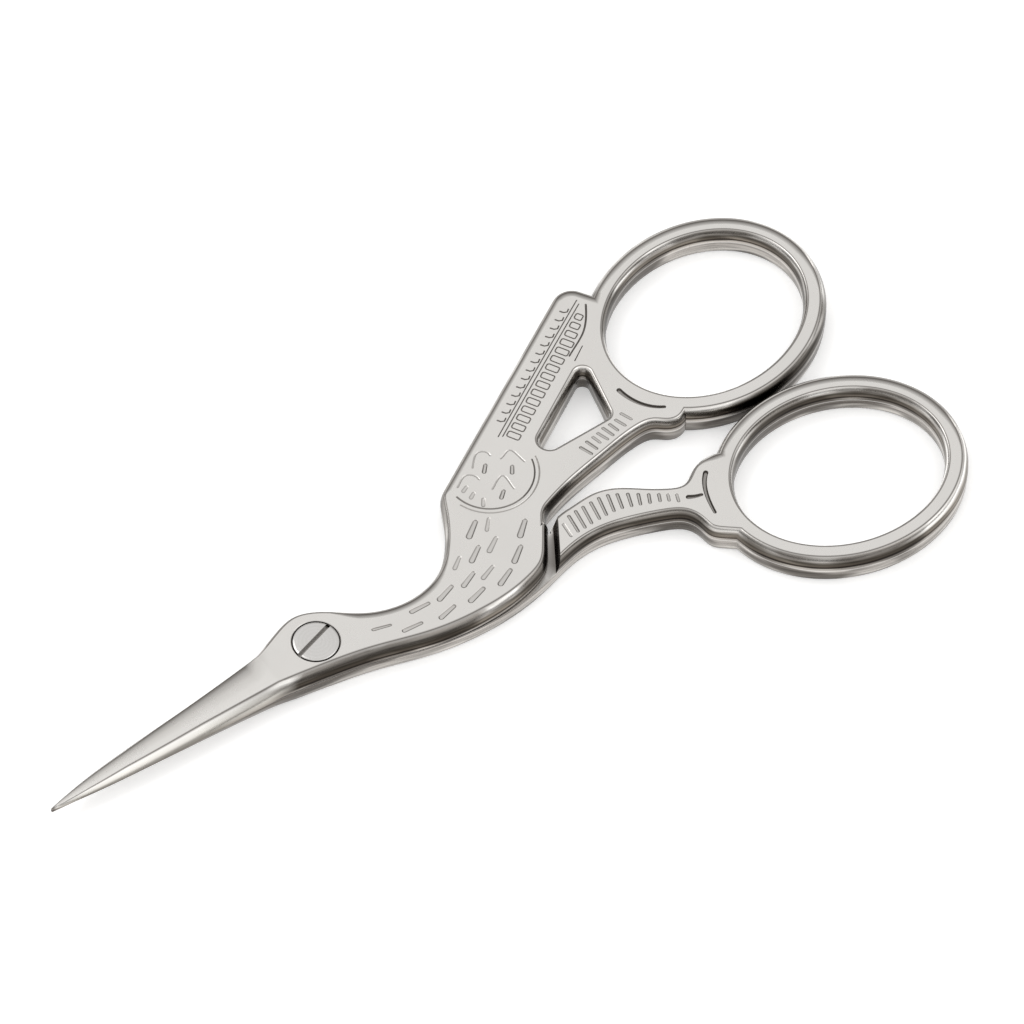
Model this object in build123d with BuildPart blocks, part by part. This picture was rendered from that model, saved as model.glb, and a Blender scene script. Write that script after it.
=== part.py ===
from build123d import *
from math import cos, radians, sin, sqrt
import os

os.makedirs("parts", exist_ok=True)

# Stork embroidery scissors, lying closed on their reverse side.
# X runs from the pivot to the finger rings, Y towards the stork's back and Z up.
# The origin is on the pivot's axis, in the plane that the scissors rest on.

# Driving sizes of the pair, in millimetres and degrees
plate_thickness = 3.0
lap_gap = 0.06           # between the two half-thick plates at the pivot
seam_gap = 0.15          # between one half's step and the other half's edge
blade_reach = 28.8       # pivot to tip
blade_width = 4.6        # at the root of the beak
tip_height = 0.25        # thickness of one blade at its tip
ring_reach = 48.9        # pivot to the middle of the stork half's finger ring
rear_ring_advance = 0.25 # how much farther the leg half's ring reaches
ring_gap = 0.3           # between the closed rings
ring_bore_length = 19.4
ring_bore_width = 16.0
ring_bar = 2.1           # width of the bar that the rings are made of
ring_tilt = 10.5         # of a ring's long axis, out from the closing line
closing_line_drop = 0.6  # from the pivot down to the line where the rings meet
edge_draft = 0.45        # how far the sides lean in from the middle to each face
window_corner = 0.55     # rounding of the three-cornered window's corners
shoulder_run = 1.7       # straight run from the neck up to the shoulder
shoulder_round = 2.5     # radius where the neck's back turns into the wing's edge
tail_round = 2.0         # radius of the tail's tip

# Driving sizes of the pivot screw
screw_head_diameter = 4.2
screw_head_height = 0.9
screw_head_crown = 0.05  # how far the head stands out of its seat
screw_shank_diameter = 2.4
head_clearance = 0.1     # round the head, in its seat
shank_clearance = 0.04   # round the shank, in the half that turns on it
thread_clearance = 0.01  # round the shank, in the half that it is screwed into
slot_width = 0.4
slot_depth = 0.5
slot_turn = 17           # of the slot, in degrees from X

# Derived sizes
lap_height = plate_thickness / 2
upper_plate_floor = lap_height + lap_gap / 2
lower_plate_top = lap_height - lap_gap / 2
upper_plate_height = plate_thickness - upper_plate_floor
lean_height_share = 0.34
lean_height = lean_height_share * plate_thickness
bore_length_radius = ring_bore_length / 2
bore_width_radius = ring_bore_width / 2
outer_length_radius = bore_length_radius + ring_bar
outer_width_radius = bore_width_radius + ring_bar
ring_half_height = sqrt((outer_length_radius * sin(radians(ring_tilt))) ** 2
                        + (outer_width_radius * cos(radians(ring_tilt))) ** 2)
ring_rise = ring_half_height + ring_gap / 2
closing_line = -closing_line_drop
lap_left = -blade_reach
lap_low = closing_line - ring_rise
lap_high = closing_line + ring_rise
head_seat_depth = screw_head_height - screw_head_crown

# Plan of the two halves, as shares of the rings' reach along X and, from the closing line,
# of the rings' rise along Y. It is drawn at the middle of the thickness, where it is widest.
neck_back_shares = [(-0.051, 0.354), (-0.002, 0.407), (0.047, 0.320), (0.106, 0.112), (0.192, -0.016),
                    (0.270, 0.078), (0.321, 0.315), (0.354, 0.582)]
tail_tip_share = (0.822, 1.985)
inside_ring_shares = [(0.900, 1.416), (0.900, 0.543), (0.859, 0.291)]
front_leg_shares = [(0.859, 0.291), (0.845, 0.223), (0.824, 0.194), (0.802, 0.228), (0.781, 0.301),
                    (0.753, 0.320), (0.675, 0.267), (0.593, 0.194), (0.521, 0.092)]
belly_shares = [(0.495, -0.058), (0.470, -0.228), (0.444, -0.378), (0.401, -0.475), (0.292, -0.543),
                (0.174, -0.475), (0.072, -0.335), (-0.031, -0.238)]
window_shares = [(0.543, 0.582), (0.725, 0.582), (0.753, 1.177)]
rear_leg_top_shares = [(0.497, -0.063), (0.511, -0.029), (0.552, 0.000), (0.605, 0.005), (0.638, -0.044),
                       (0.689, -0.213), (0.722, -0.320), (0.748, -0.364), (0.779, -0.286),
                       (0.806, -0.242), (0.826, -0.242), (0.859, -0.291)]
rear_leg_low_shares = [(0.787, -1.183), (0.748, -0.989), (0.732, -0.902), (0.727, -0.776),
                       (0.716, -0.650), (0.685, -0.553), (0.632, -0.456), (0.562, -0.378),
                       (0.511, -0.388), (0.438, -0.475), (0.360, -0.543), (0.292, -0.553),
                       (0.174, -0.475), (0.072, -0.335), (-0.031, -0.238)]
seam_shares = [(0.258, 0.252), (0.274, 0.000), (0.497, -0.063)]
leg_end_shares = [(0.624, 1.000), (0.403, -1.000)]

# Stations of each blade: share of its reach, then back, ridge, crest and cutting edge as
# shares of its width from the closing line, and the share of its full height
draft_share = edge_draft / blade_width
front_blade_shares = [(0.181, -0.417, -0.417 + draft_share, 0.576 - draft_share, 0.576, 1.00),
                      (0.451, -0.352, -0.241, 0.322, 0.413, 0.66),
                      (0.729, -0.259, -0.163, 0.185, 0.250, 0.34),
                      (0.868, -0.183, -0.125, 0.098, 0.141, 0.17),
                      (1.000, -0.070, -0.059, -0.043, -0.033, 0.00)]
rear_blade_shares = [(0.181, 0.576, 0.576 - draft_share, -0.417 + draft_share, -0.417, 1.00),
                     (0.451, 0.460, 0.350, -0.230, -0.310, 0.66),
                     (0.729, 0.290, 0.200, -0.150, -0.215, 0.34),
                     (0.868, 0.170, 0.115, -0.100, -0.145, 0.17),
                     (1.000, -0.030, -0.042, -0.058, -0.067, 0.00)]
side_strip_share = 1 - lean_height / upper_plate_height


def handle_points(shares):
    """Points of the handles' plan from pairs of shares."""
    return [(along * ring_reach, closing_line + up * ring_rise) for along, up in shares]


def blade_corner(station, across_share):
    """A corner of a blade's flat side, in plan."""
    return (-station[0] * blade_reach, closing_line + across_share * blade_width)


def lean_sides(plate):
    """Lean the sides of a plate in towards both of its faces, but not where a blade joins it."""
    for face in (plate.faces().sort_by(Axis.Z)[0], plate.faces().sort_by(Axis.Z)[-1]):
        edges = [edge for edge in face.edges() if edge.center().X > beak_root[0] + edge_draft / 2]
        chamfer(edges, length=edge_draft, length2=lean_height, reference=face)


def finger_ring(middle, tilt):
    """An oval finger ring, lying flat, with leaning sides."""
    with BuildPart() as ring:
        with BuildSketch():
            with Locations(middle):
                Ellipse(outer_length_radius, outer_width_radius, rotation=tilt)
                Ellipse(bore_length_radius, bore_width_radius, rotation=tilt, mode=Mode.SUBTRACT)
        extrude(amount=plate_thickness)
        lean_sides(ring)
    return ring.part


def join_ring(ring, middle, tilt):
    """Cut the current half back to the middle of the ring's bar, and join the ring to it."""
    with BuildSketch() as ring_inside:
        with Locations(middle):
            Ellipse(bore_length_radius + ring_bar / 2, bore_width_radius + ring_bar / 2, rotation=tilt)
    extrude(ring_inside.sketch, amount=plate_thickness, mode=Mode.SUBTRACT)
    add(ring)


def add_blade(stations, floor, rise):
    """Loft a blade through its stations, upwards or downwards from its flat side."""
    sections = []
    for reach_share, back, ridge, crest, edge, height_share in stations:
        height = tip_height + height_share * (upper_plate_height - tip_height)
        strip = side_strip_share * height
        corners = [(back, 0), (back, strip), (ridge, height), (crest, height), (edge, strip), (edge, 0)]
        middle = (-reach_share * blade_reach, closing_line, floor)
        with BuildSketch(Plane(origin=middle, x_dir=(0, 1, 0), z_dir=(1, 0, 0))) as section:
            Polygon([(across * blade_width, rise * up) for across, up in corners], align=None)
        sections.append(section.sketch)
    loft(sections=sections, ruled=True)


beak_root = blade_corner(front_blade_shares[0], front_blade_shares[0][4])
beak_root_low = blade_corner(front_blade_shares[0], front_blade_shares[0][1])

front_ring_middle = (ring_reach, closing_line + ring_rise)
front_ring = finger_ring(front_ring_middle, ring_tilt)
rear_ring_middle = (ring_reach + rear_ring_advance, closing_line - ring_rise)
rear_ring = finger_ring(rear_ring_middle, -ring_tilt)

# Stork half: beak, head, neck, body with wing and tail, front leg and the upper ring
with BuildPart() as stork_half:
    with BuildSketch(mode=Mode.PRIVATE) as window:
        Polygon(handle_points(window_shares), align=None)
        fillet(window.vertices(), window_corner)
    with BuildSketch() as plan:
        with BuildLine():
            back = Spline([beak_root] + handle_points(neck_back_shares))
            shoulder = back @ 1 + (back % 1) * shoulder_run
            tail_tip = Vector(*handle_points([tail_tip_share])[0])
            Polyline([back @ 1, shoulder, tail_tip] + handle_points(inside_ring_shares))
            leg = Spline(handle_points(front_leg_shares))
            belly = Spline(handle_points(belly_shares) + [beak_root_low])
            TangentArc([leg @ 1, belly @ 0], tangent=leg % 1)
            Line(belly @ 1, beak_root)
        make_face()
        fillet(plan.vertices().sort_by_distance(shoulder)[0], shoulder_round)
        fillet(plan.vertices().sort_by_distance(tail_tip)[0], tail_round)
        add(window.sketch, mode=Mode.SUBTRACT)
    extrude(amount=plate_thickness)
    lean_sides(stork_half)
    join_ring(front_ring, front_ring_middle, ring_tilt)

    # The leg half's neck lies under this half's, in a pocket that ends at the seam
    with BuildSketch():
        seam = handle_points(seam_shares)
        Polygon(seam + [(seam[2][0], lap_low), (lap_left, lap_low),
                        (lap_left, lap_high), (seam[0][0], lap_high)], align=None)
    extrude(amount=upper_plate_floor, mode=Mode.SUBTRACT)
    add_blade(front_blade_shares, upper_plate_floor, 1)
    with Locations((0, 0, plate_thickness)):
        CounterBoreHole(radius=screw_shank_diameter / 2 + shank_clearance,
                        counter_bore_radius=screw_head_diameter / 2 + head_clearance,
                        counter_bore_depth=head_seat_depth)

stork_half.part.label = "stork_half"
export_step(stork_half.part, "parts/stork_half.step")

# Leg half: the lower blade, the neck under the stork's, the rear leg and the lower ring
with BuildPart() as leg_half:
    with BuildSketch():
        with BuildLine():
            back = Spline([beak_root] + handle_points(neck_back_shares))
            leg_top = Spline(handle_points(rear_leg_top_shares))
            leg_low = Spline(handle_points(rear_leg_low_shares) + [beak_root_low])
            Line(back @ 1, leg_top @ 0)
            Line(leg_top @ 1, leg_low @ 0)
            Line(leg_low @ 1, beak_root)
        make_face()
    extrude(amount=plate_thickness)
    lean_sides(leg_half)
    join_ring(rear_ring, rear_ring_middle, -ring_tilt)

    # Above the lap this half begins at the top of its leg
    with BuildSketch(Plane.XY.offset(lower_plate_top)):
        Polygon(handle_points(leg_end_shares) + [(lap_left, lap_low), (lap_left, lap_high)], align=None)
    extrude(amount=plate_thickness, mode=Mode.SUBTRACT)

    # Below the lap it leaves room for the stork's body, up to the seam
    with BuildSketch():
        Polygon(seam + [(seam[2][0], lap_high), (seam[0][0], lap_high)], align=None)
        offset(amount=seam_gap)
    extrude(amount=plate_thickness, mode=Mode.SUBTRACT)
    add_blade(rear_blade_shares, lower_plate_top, -1)
    Hole(radius=screw_shank_diameter / 2 + thread_clearance)

leg_half.part.label = "leg_half"
export_step(leg_half.part, "parts/leg_half.step")

# Pivot screw: slotted, with its head let into the stork half
with BuildPart() as pivot_screw:
    head_floor = plate_thickness - head_seat_depth
    with BuildSketch():
        Circle(screw_shank_diameter / 2)
    extrude(amount=head_floor)
    with BuildSketch(Plane.XY.offset(head_floor)):
        Circle(screw_head_diameter / 2)
    extrude(amount=screw_head_height)
    with BuildSketch(Plane.XY.offset(head_floor + screw_head_height)):
        Rectangle(screw_head_diameter + slot_width, slot_width, rotation=slot_turn)
    extrude(amount=-slot_depth, mode=Mode.SUBTRACT)

pivot_screw.part.label = "pivot_screw"
export_step(pivot_screw.part, "parts/pivot_screw.step")
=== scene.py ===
import math
from functools import partial

import bmesh
import bpy
import numpy as np
from bpy.props import FloatProperty, FloatVectorProperty, IntProperty, PointerProperty
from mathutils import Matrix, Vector
from mathutils.geometry import delaunay_2d_cdt


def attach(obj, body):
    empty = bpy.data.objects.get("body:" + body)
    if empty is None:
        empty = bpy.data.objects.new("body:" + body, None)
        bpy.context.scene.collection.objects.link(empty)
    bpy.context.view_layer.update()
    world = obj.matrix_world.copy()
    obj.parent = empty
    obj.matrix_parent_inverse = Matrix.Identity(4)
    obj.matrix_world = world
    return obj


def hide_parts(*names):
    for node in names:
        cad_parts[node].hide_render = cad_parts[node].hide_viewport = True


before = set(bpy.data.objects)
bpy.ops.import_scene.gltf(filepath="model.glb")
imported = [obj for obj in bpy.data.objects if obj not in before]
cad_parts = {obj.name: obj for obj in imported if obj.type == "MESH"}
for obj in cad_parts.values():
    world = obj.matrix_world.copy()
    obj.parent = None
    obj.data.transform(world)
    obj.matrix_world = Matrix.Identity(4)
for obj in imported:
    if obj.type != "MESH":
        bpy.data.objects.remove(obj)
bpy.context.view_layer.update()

bl_info = {
    "name": "Stork embroidery scissors",
    "version": (1, 0, 0),
    "blender": (4, 5, 0),
    "location": "View3D > Sidebar > Scissors",
    "description": "Builds the two struck forgings, the pivot screw and a pale studio stage",
    "category": "Add Mesh",
}

MM = 0.001

# Lengths in millimetres below which points count as one, in a moved loop and in a joined line
SAME_PLACE, TOUCHING = 1e-9, 1e-6
# How far the shown rings stay inside the box of the solids, in millimetres
BOX_MARGIN = 0.003
# Lengths in metres below which a mesh's points are welded, those of the screw's too, and its
# faces count as slivers
WELD, SCREW_WELD, SLIVER = 2e-7, 1e-7, 1e-7
# Turns from which an edge is shown sharp
FORGING_SHARP, SCREW_SHARP = math.radians(27), math.radians(30)
# Sine of the turn below which a corner of a loop counts as straight
NEARLY_STRAIGHT = 0.2
# Halvings that find where a line meets an oval
HALVINGS = 40
# Most edges in a fold that is drawn together, rounds of taking out spikes, and a spike's cosine
FOLD_REACH, SPIKE_ROUNDS, SPIKE_COSINE = 26, 8, -0.9

# Plan of the two halves, as shares of the rings' reach along X and, from the closing line,
# of the rings' rise along Y, at the middle of the thickness. Both halves have the same neck. The
# window's round shares are those of its corners' rounding, and the flare share says how far the
# line at the end of the leg turns back below.
NECK_BACK_SHARES = [(-0.051, 0.354), (-0.002, 0.407), (0.047, 0.320), (0.106, 0.112),
                    (0.192, -0.016), (0.270, 0.078), (0.321, 0.315), (0.354, 0.582)]
TAIL_TIP_SHARE = (0.822, 1.985)
INSIDE_RING_SHARE = (0.900, 1.416)
FRONT_LEG_SHARES = [(0.859, 0.291), (0.845, 0.223), (0.824, 0.194), (0.802, 0.228), (0.781, 0.301),
                    (0.753, 0.320), (0.675, 0.267), (0.593, 0.194), (0.521, 0.092)]
NECK_BELLY_SHARES = [(0.174, -0.475), (0.072, -0.335), (-0.031, -0.238)]
BELLY_SHARES = [(0.495, -0.058), (0.470, -0.228), (0.444, -0.378), (0.401, -0.475),
                (0.292, -0.543)] + NECK_BELLY_SHARES
WINDOW_SHARES = [(0.543, 0.582), (0.725, 0.582), (0.753, 1.177)]
WINDOW_ROUND_SHARES = (1.5, 1.0, 1.0)
REAR_LEG_TOP_SHARES = [(0.497, -0.063), (0.511, -0.029), (0.552, 0.000), (0.605, 0.005),
                       (0.638, -0.044), (0.689, -0.213), (0.722, -0.320), (0.748, -0.364),
                       (0.779, -0.286), (0.806, -0.242), (0.826, -0.242), (0.859, -0.291)]
REAR_LEG_LOW_SHARES = [(0.787, -1.183), (0.748, -0.989), (0.732, -0.902), (0.727, -0.776),
                       (0.716, -0.650), (0.685, -0.553), (0.632, -0.456), (0.562, -0.378),
                       (0.511, -0.388), (0.438, -0.475), (0.360, -0.543),
                       (0.292, -0.553)] + NECK_BELLY_SHARES
SEAM_SHARES = [(0.258, 0.252), (0.274, 0.000), (0.497, -0.063)]
LEG_END_SHARES = [(0.624, 1.000), (0.403, -1.000)]
LEG_END_FLARE_SHARE = 2.2

# Stations of each blade: share of its reach, then its high edge, high ridge, low ridge and low
# edge as shares of its width from the closing line, and the share of its full height
HIGH_EDGE, HIGH_RIDGE, LOW_RIDGE, LOW_EDGE, FULLNESS = range(1, 6)
FRONT_BLADE_SHARES = [(0.181, 0.576, 0.478, -0.240, -0.417, 1.00),
                      (0.451, 0.413, 0.322, -0.165, -0.352, 0.66),
                      (0.729, 0.250, 0.185, -0.110, -0.259, 0.34),
                      (0.868, 0.141, 0.098, -0.092, -0.183, 0.17),
                      (1.000, -0.033, -0.043, -0.059, -0.070, 0.00)]
REAR_BLADE_SHARES = [(0.181, 0.576, 0.478, -0.319, -0.417, 1.00),
                     (0.451, 0.460, 0.350, -0.230, -0.310, 0.66),
                     (0.729, 0.290, 0.200, -0.150, -0.215, 0.34),
                     (0.868, 0.170, 0.115, -0.100, -0.145, 0.17),
                     (1.000, -0.030, -0.042, -0.058, -0.067, 0.00)]

# Levels of a side, from the lap plane to the flat face: shares of the lean, of the height and
# of the lap edge's rounding, and how much of the level is side rather than flat. Above the lap
# the body's side is upright up to a parting line; below, it leans in little by little.
UPPER_SIDE_SHARES = [(0.00, 0.000, 1.00, 0.0), (0.00, 0.040, 0.30, 1.0), (0.00, 0.100, 0.00, 1.0),
                     (0.00, 0.300, 0.00, 1.0), (0.05, 0.400, 0.00, 1.0), (0.16, 0.560, 0.00, 1.0),
                     (0.31, 0.720, 0.00, 1.0), (0.49, 0.860, 0.00, 1.0), (0.66, 0.938, 0.00, 1.0),
                     (0.82, 0.980, 0.00, 0.6), (1.00, 1.000, 0.00, 0.0), (1.20, 1.000, 0.00, 0.0)]
LOWER_SIDE_SHARES = [(0.00, 0.000, 1.00, 0.0), (0.00, 0.040, 0.30, 1.0), (0.01, 0.100, 0.00, 1.0),
                     (0.05, 0.240, 0.00, 1.0), (0.10, 0.380, 0.00, 1.0), (0.18, 0.540, 0.00, 1.0),
                     (0.28, 0.700, 0.00, 1.0), (0.43, 0.850, 0.00, 1.0), (0.60, 0.930, 0.00, 1.0),
                     (0.80, 0.980, 0.00, 0.6), (1.00, 1.000, 0.00, 0.0), (1.20, 1.000, 0.00, 0.0)]
BLADE_SIDE_SHARES = [(0.00, 0.000, 1.00, 0.0), (0.00, 0.040, 0.30, 1.0), (0.00, 0.110, 0.00, 1.0),
                     (0.10, 0.250, 0.00, 1.0), (0.20, 0.380, 0.00, 1.0), (0.29, 0.490, 0.00, 1.0),
                     (0.42, 0.590, 0.00, 1.0), (0.57, 0.700, 0.00, 1.0), (0.72, 0.808, 0.00, 1.0),
                     (0.84, 0.892, 0.00, 1.0), (1.00, 1.000, 0.00, 0.0), (1.18, 1.000, 0.00, 0.0)]

# How far the sides of each half's neck lean in, by X from the pivot
NECK_LEANS = {("stork", "low"): ([-5.2, 14.0, 20.0, 23.5], [0.81, 0.78, 0.62, 0.45]),
              ("stork", "high"): ([-5.2, 12.0], [0.45, 0.45]),
              ("leg", "low"): ([-5.2, 0.0, 22.0], [0.45, 0.25, 0.20]),
              ("leg", "high"): ([-5.2, 0.0, 12.0], [0.45, 0.25, 0.20])}

# How much farther a ring's outer side leans in, above and below the lap, and the leans of a
# blade's tip and of the step between a half's two layers
RING_LEAN = {1: 0.12, -1: 0.0}
TIP_LEAN, STEP_LEAN = 0.04, 0.06
# Lines of a blade's own layer, in the order in which the plans give them
NECK_LOW, BLADE_LOW, TIP, BLADE_HIGH, NECK_HIGH, STEP = range(6)
# How many points from its ends the rounding of a lap's edge takes to come in
LAP_RUN = 6
# Length over which the neck's side turns into the blade's
BLADE_RUN = 3.0
# Power of the curve of a hollow side, and how much of the last level's overshoot it keeps
HOLLOW_POWER, HOLLOW_OVERSHOOT = 2.4, 0.5
# Rolled far edge: the way it faces in plan, how squarely it must face that way, where along X
# it begins on each half, and over what length it comes in
ROLL_WAY = (0.82, -0.57)
ROLL_FACING, ROLL_FACING_RUN = 0.1, 0.5
ROLL_START = {"stork": 3.0, "leg": 38.5}
ROLL_RUN = 2.0
# Painted shade on a blade's tip, how far from its end it begins and over what length it comes in
TIP_SHADE, TIP_SHADE_START, TIP_SHADE_RUN = 0.8, 0.5, 0.25
# Painted shade of a side's first levels where its foot is a lap's edge, and where it is hollow
LAP_SHADES, HOLLOW_SHADE = (0.4, 0.9, 0.0), 0.9
# Width and depth of the broken edge round the head's seat and round the shank's hole
SEAT_CHAMFER, HOLE_CHAMFER = (0.06, 0.05), (0.09, 0.1)
# Points of a circle round the pivot
PIVOT_POINTS = 72
# Screw: the broken edge at its end, the thread's grooves with where they begin, how far below
# the lap they end, their spacing and depth, and the head's rounding as steps in and down
SCREW_CHAMFER = 0.12
THREAD_START, THREAD_END, THREAD_PITCH, THREAD_DEPTH = 0.2, 0.15, 0.3, 0.1
THREAD_ROOT_SHARE, THREAD_CREST_SHARE = 0.4, 0.8
HEAD_ROUNDING = [(0.0, 0.14), (0.03, 0.07), (0.1, 0.02), (0.25, 0.005)]

# Struck feathers on the neck, in millimetres from the pivot: the blunt end, the narrow end,
# half the width at the blunt end and the strength of the blow
NECK_FEATHERS = [((4.9, -1.85), (6.6, -2.35), 0.19, 0.9), ((7.1, -3.5), (9.0, -3.7), 0.24, 1.0),
                 ((8.8, -2.2), (10.7, -2.3), 0.26, 0.9), ((10.6, -4.2), (12.4, -3.8), 0.27, 1.0),
                 ((11.6, -2.5), (13.4, -1.9), 0.29, 0.8), ((13.8, -4.2), (15.6, -3.7), 0.30, 1.0),
                 ((14.2, -2.5), (15.8, -1.8), 0.29, 0.6), ((17.0, -4.2), (18.7, -3.4), 0.30, 1.0),
                 ((16.1, -2.8), (17.6, -2.2), 0.26, 0.4), ((19.4, -2.9), (20.9, -1.8), 0.31, 0.8),
                 ((14.6, -0.5), (15.7, 0.3), 0.24, 0.3), ((16.3, -0.7), (17.8, 0.3), 0.30, 0.6),
                 ((18.2, -0.7), (19.6, 0.2), 0.28, 0.4), ((21.4, -0.9), (22.8, 0.3), 0.32, 0.8),
                 ((17.6, 1.6), (19.1, 2.7), 0.32, 0.8), ((19.3, 1.3), (20.2, 2.3), 0.22, 0.3)]
# Bars on the two legs: the ends and the strength
FRONT_LEG_BARS = [((31.3, 3.9), (31.7, 2.8), 1.0), ((32.1, 4.1), (32.4, 3.0), 1.0),
                  ((32.85, 4.2), (33.05, 3.4), 0.6), ((33.45, 4.3), (33.8, 3.3), 0.7),
                  ((34.15, 4.5), (34.45, 3.4), 0.8), ((34.88, 4.5), (35.1, 3.6), 0.8),
                  ((35.6, 4.6), (35.95, 3.65), 0.7), ((36.4, 4.9), (36.8, 3.9), 0.6)]
REAR_LEG_BARS = [((25.25, -2.1), (25.1, -3.5), 0.5), ((26.15, -1.65), (25.9, -3.45), 1.0),
                 ((26.95, -1.55), (26.65, -3.45), 0.9), ((27.75, -1.55), (27.4, -3.4), 0.9),
                 ((28.6, -1.55), (28.25, -3.4), 0.9), ((29.45, -1.55), (29.0, -3.4), 1.0),
                 ((30.3, -1.75), (29.8, -3.45), 1.0), ((31.05, -2.15), (30.6, -3.6), 1.0),
                 ((31.85, -2.65), (31.4, -3.9), 1.0), ((32.6, -3.2), (32.15, -4.2), 1.0),
                 ((33.35, -3.75), (32.95, -4.55), 0.9), ((34.1, -4.25), (33.8, -4.9), 0.8),
                 ((34.75, -4.75), (34.5, -5.3), 0.6), ((35.4, -5.2), (35.15, -5.85), 0.6)]
# Grooves over the claws
FRONT_CLAW = [(37.7, 7.1), (38.1, 5.5), (38.9, 4.2), (40.0, 3.3)]
REAR_CLAW = [(38.9, -4.7), (38.2, -5.5), (37.5, -7.0), (37.1, -8.7)]
REAR_CLAW_SPUR = [(36.1, -6.0), (36.7, -6.3), (37.22, -6.45)]
# Wing: where its shaft begins and its direction, the spacing of its feathers, and in lengths
# along and across the shaft, where the cells and the ticks begin
WING_START, WING_TILT = (26.3, 9.2), math.radians(30.2)
FEATHER_SPACING = 1.02
FIRST_CELL, FIRST_TICK = (0.3, -0.47), (1.2, 0.28)
# Cells: how many, their width, their length, which falls over the last ones, the rounding of
# their corners, how much of a trim it loses, and how many of its steps make a radius
CELL_COUNT, CELL_WIDTH, CELL_LENGTHS = 15, 0.76, (1.34, 1.2, 1.02, 0.82)
CELL_CORNER, CELL_CORNER_TRIM, CELL_CORNER_STEPS = 0.22, 0.8, 2.6
# Ticks: how many, and the points of one
TICK_COUNT, TICK = 14, [(-0.02, 0.62), (0.03, 0.2), (0.17, 0.03), (0.52, 0.05)]
# Lines of the shaft: start and end along it, place across it, and the bow in the middle
SHAFT_LINES, SHAFT_BOW = [(-0.4, 16.2, 0.08), (-0.2, 15.9, -0.27)], 0.03
TAIL_EDGE = [(36.2, 12.72), (37.5, 13.42), (38.75, 14.2), (39.6, 15.05), (40.4, 16.15),
             (40.65, 16.55)]
TAIL_LINE = [(36.3, 12.02), (37.8, 12.98)]
# Shoulder: the middle of its arcs, the step along them, and their radius, start and turn in
# degrees, and stroke
SHOULDER, ARC_STEP = (23.1, 6.3), 0.5
SHOULDER_ARCS = [(4.0, 188, 158, "arc"), (4.42, 199, 150, "faint arc")]
# Its ovals: how far their round ends reach, and the middle, the direction in degrees, half the
# length and the strength of the blow
OVAL_END = 0.2
SHOULDER_OVALS = [(22.95, 6.9, 47, 0.58, 1.0), (24.9, 5.42, 55, 0.55, 0.9),
                  (22.65, 3.68, 40, 0.58, 1.0), (20.75, 3.95, 55, 0.52, 0.5),
                  (20.35, 5.1, 30, 0.45, 0.4), (20.2, 6.05, 25, 0.45, 0.4)]
SHOULDER_ARCHES = [[(22.1, 7.6), (22.75, 8.3), (23.45, 8.7), (24.0, 8.4), (24.15, 7.8)],
                   [(24.75, 6.98), (25.2, 7.14), (25.88, 7.33), (26.19, 6.52), (26.31, 5.5)],
                   [(19.8, 6.6), (20.5, 7.05), (21.15, 7.25), (21.64, 6.93), (21.85, 6.2)],
                   [(22.25, 4.68), (22.7, 4.95), (23.3, 5.3), (23.76, 5.42), (23.92, 4.51),
                    (23.87, 3.6)]]

# How each kind of mark is struck, ring by ring from its rim: how far it is drawn in, its share
# of the depth and the painted shade in its recess
STRIKES = {"frame": ((0.0, 0.039, 0.091, 0.13, 0.16), (0, 1, 1, 0, 0), (0.0, 0.8, 0.65, 0.0, 0.0)),
           "pit": ((0.0, 0.045, 0.12, 0.17), (0.0, 0.4, 1.0, 1.0), (0.0, 1.0, 0.5, 0.25)),
           "bar": ((0.0, 0.04, 0.09, 0.12), (0.0, 0.4, 1.0, 1.0), (0.0, 1.0, 0.6, 0.4)),
           "line": ((0.0, 0.03, 0.11, 0.14), (0.0, 0.4, 1.0, 1.0), (0.0, 1.0, 0.9, 0.8)),
           "soft": ((0.0, 0.045, 0.08, 0.1), (0.0, 0.4, 1.0, 1.0), (0.0, 0.25, 0.35, 0.35))}
# Each struck line's kind, half its width at its two ends and its depth at full strength
FULL_BLOW = 0.09
STROKES = {"bar": ("bar", 0.17, 0.16, 0.1), "claw": ("line", 0.24, 0.16, 0.22),
           "tick": ("line", 0.09, 0.07, 0.09), "shaft": ("line", 0.06, 0.06, 0.07),
           "tail edge": ("line", 0.08, 0.1, 0.1), "tail line": ("line", 0.06, 0.05, 0.08),
           "arc": ("line", 0.1, 0.08, 0.08), "faint arc": ("soft", 0.1, 0.08, 0.08),
           "oval": ("pit", 0.22, 0.2, FULL_BLOW), "arch": ("soft", 0.11, 0.1, 0.05)}
# Feathers: how much of the given length is struck, the narrow end's share of the width, and the
# share of the depth that the faintest keeps
FEATHER_LENGTH_SHARE, FEATHER_NARROW_SHARE, FEATHER_FAINT_SHARE = 0.9, 0.8, 0.3
CELL_DEPTH = 0.1
# Kinds whose painted shade grows with the depth: its least, its growth up to a full blow and its
# most
FADING, FADE_LEAST, FADE_GROWTH, FADE_MOST = ("pit", "bar", "line"), 0.4, 0.5, 0.85
# Least distance between a mark and an edge or another opening
MARK_MARGIN = 0.1
# Steps along a curved and a straight stroke, points round its end, and its least share of width
CURVE_STEP, STRAIGHT_STEP, END_POINTS, THINNEST_SHARE = 0.3, 0.4, 7, 0.12


def share_points(shares, sizes):
    """Points of the plan in millimetres, from pairs of shares."""
    return np.array([(along * sizes["ring_reach"], sizes["closing_line"] + up * sizes["ring_rise"])
                     for along, up in shares])


def end_slope(times, points):
    """Slope at the first point of the cubic through the first four points."""
    return np.polyfit(times[:4] - times[0], points[:4], min(3, len(points) - 1))[-2]


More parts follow.
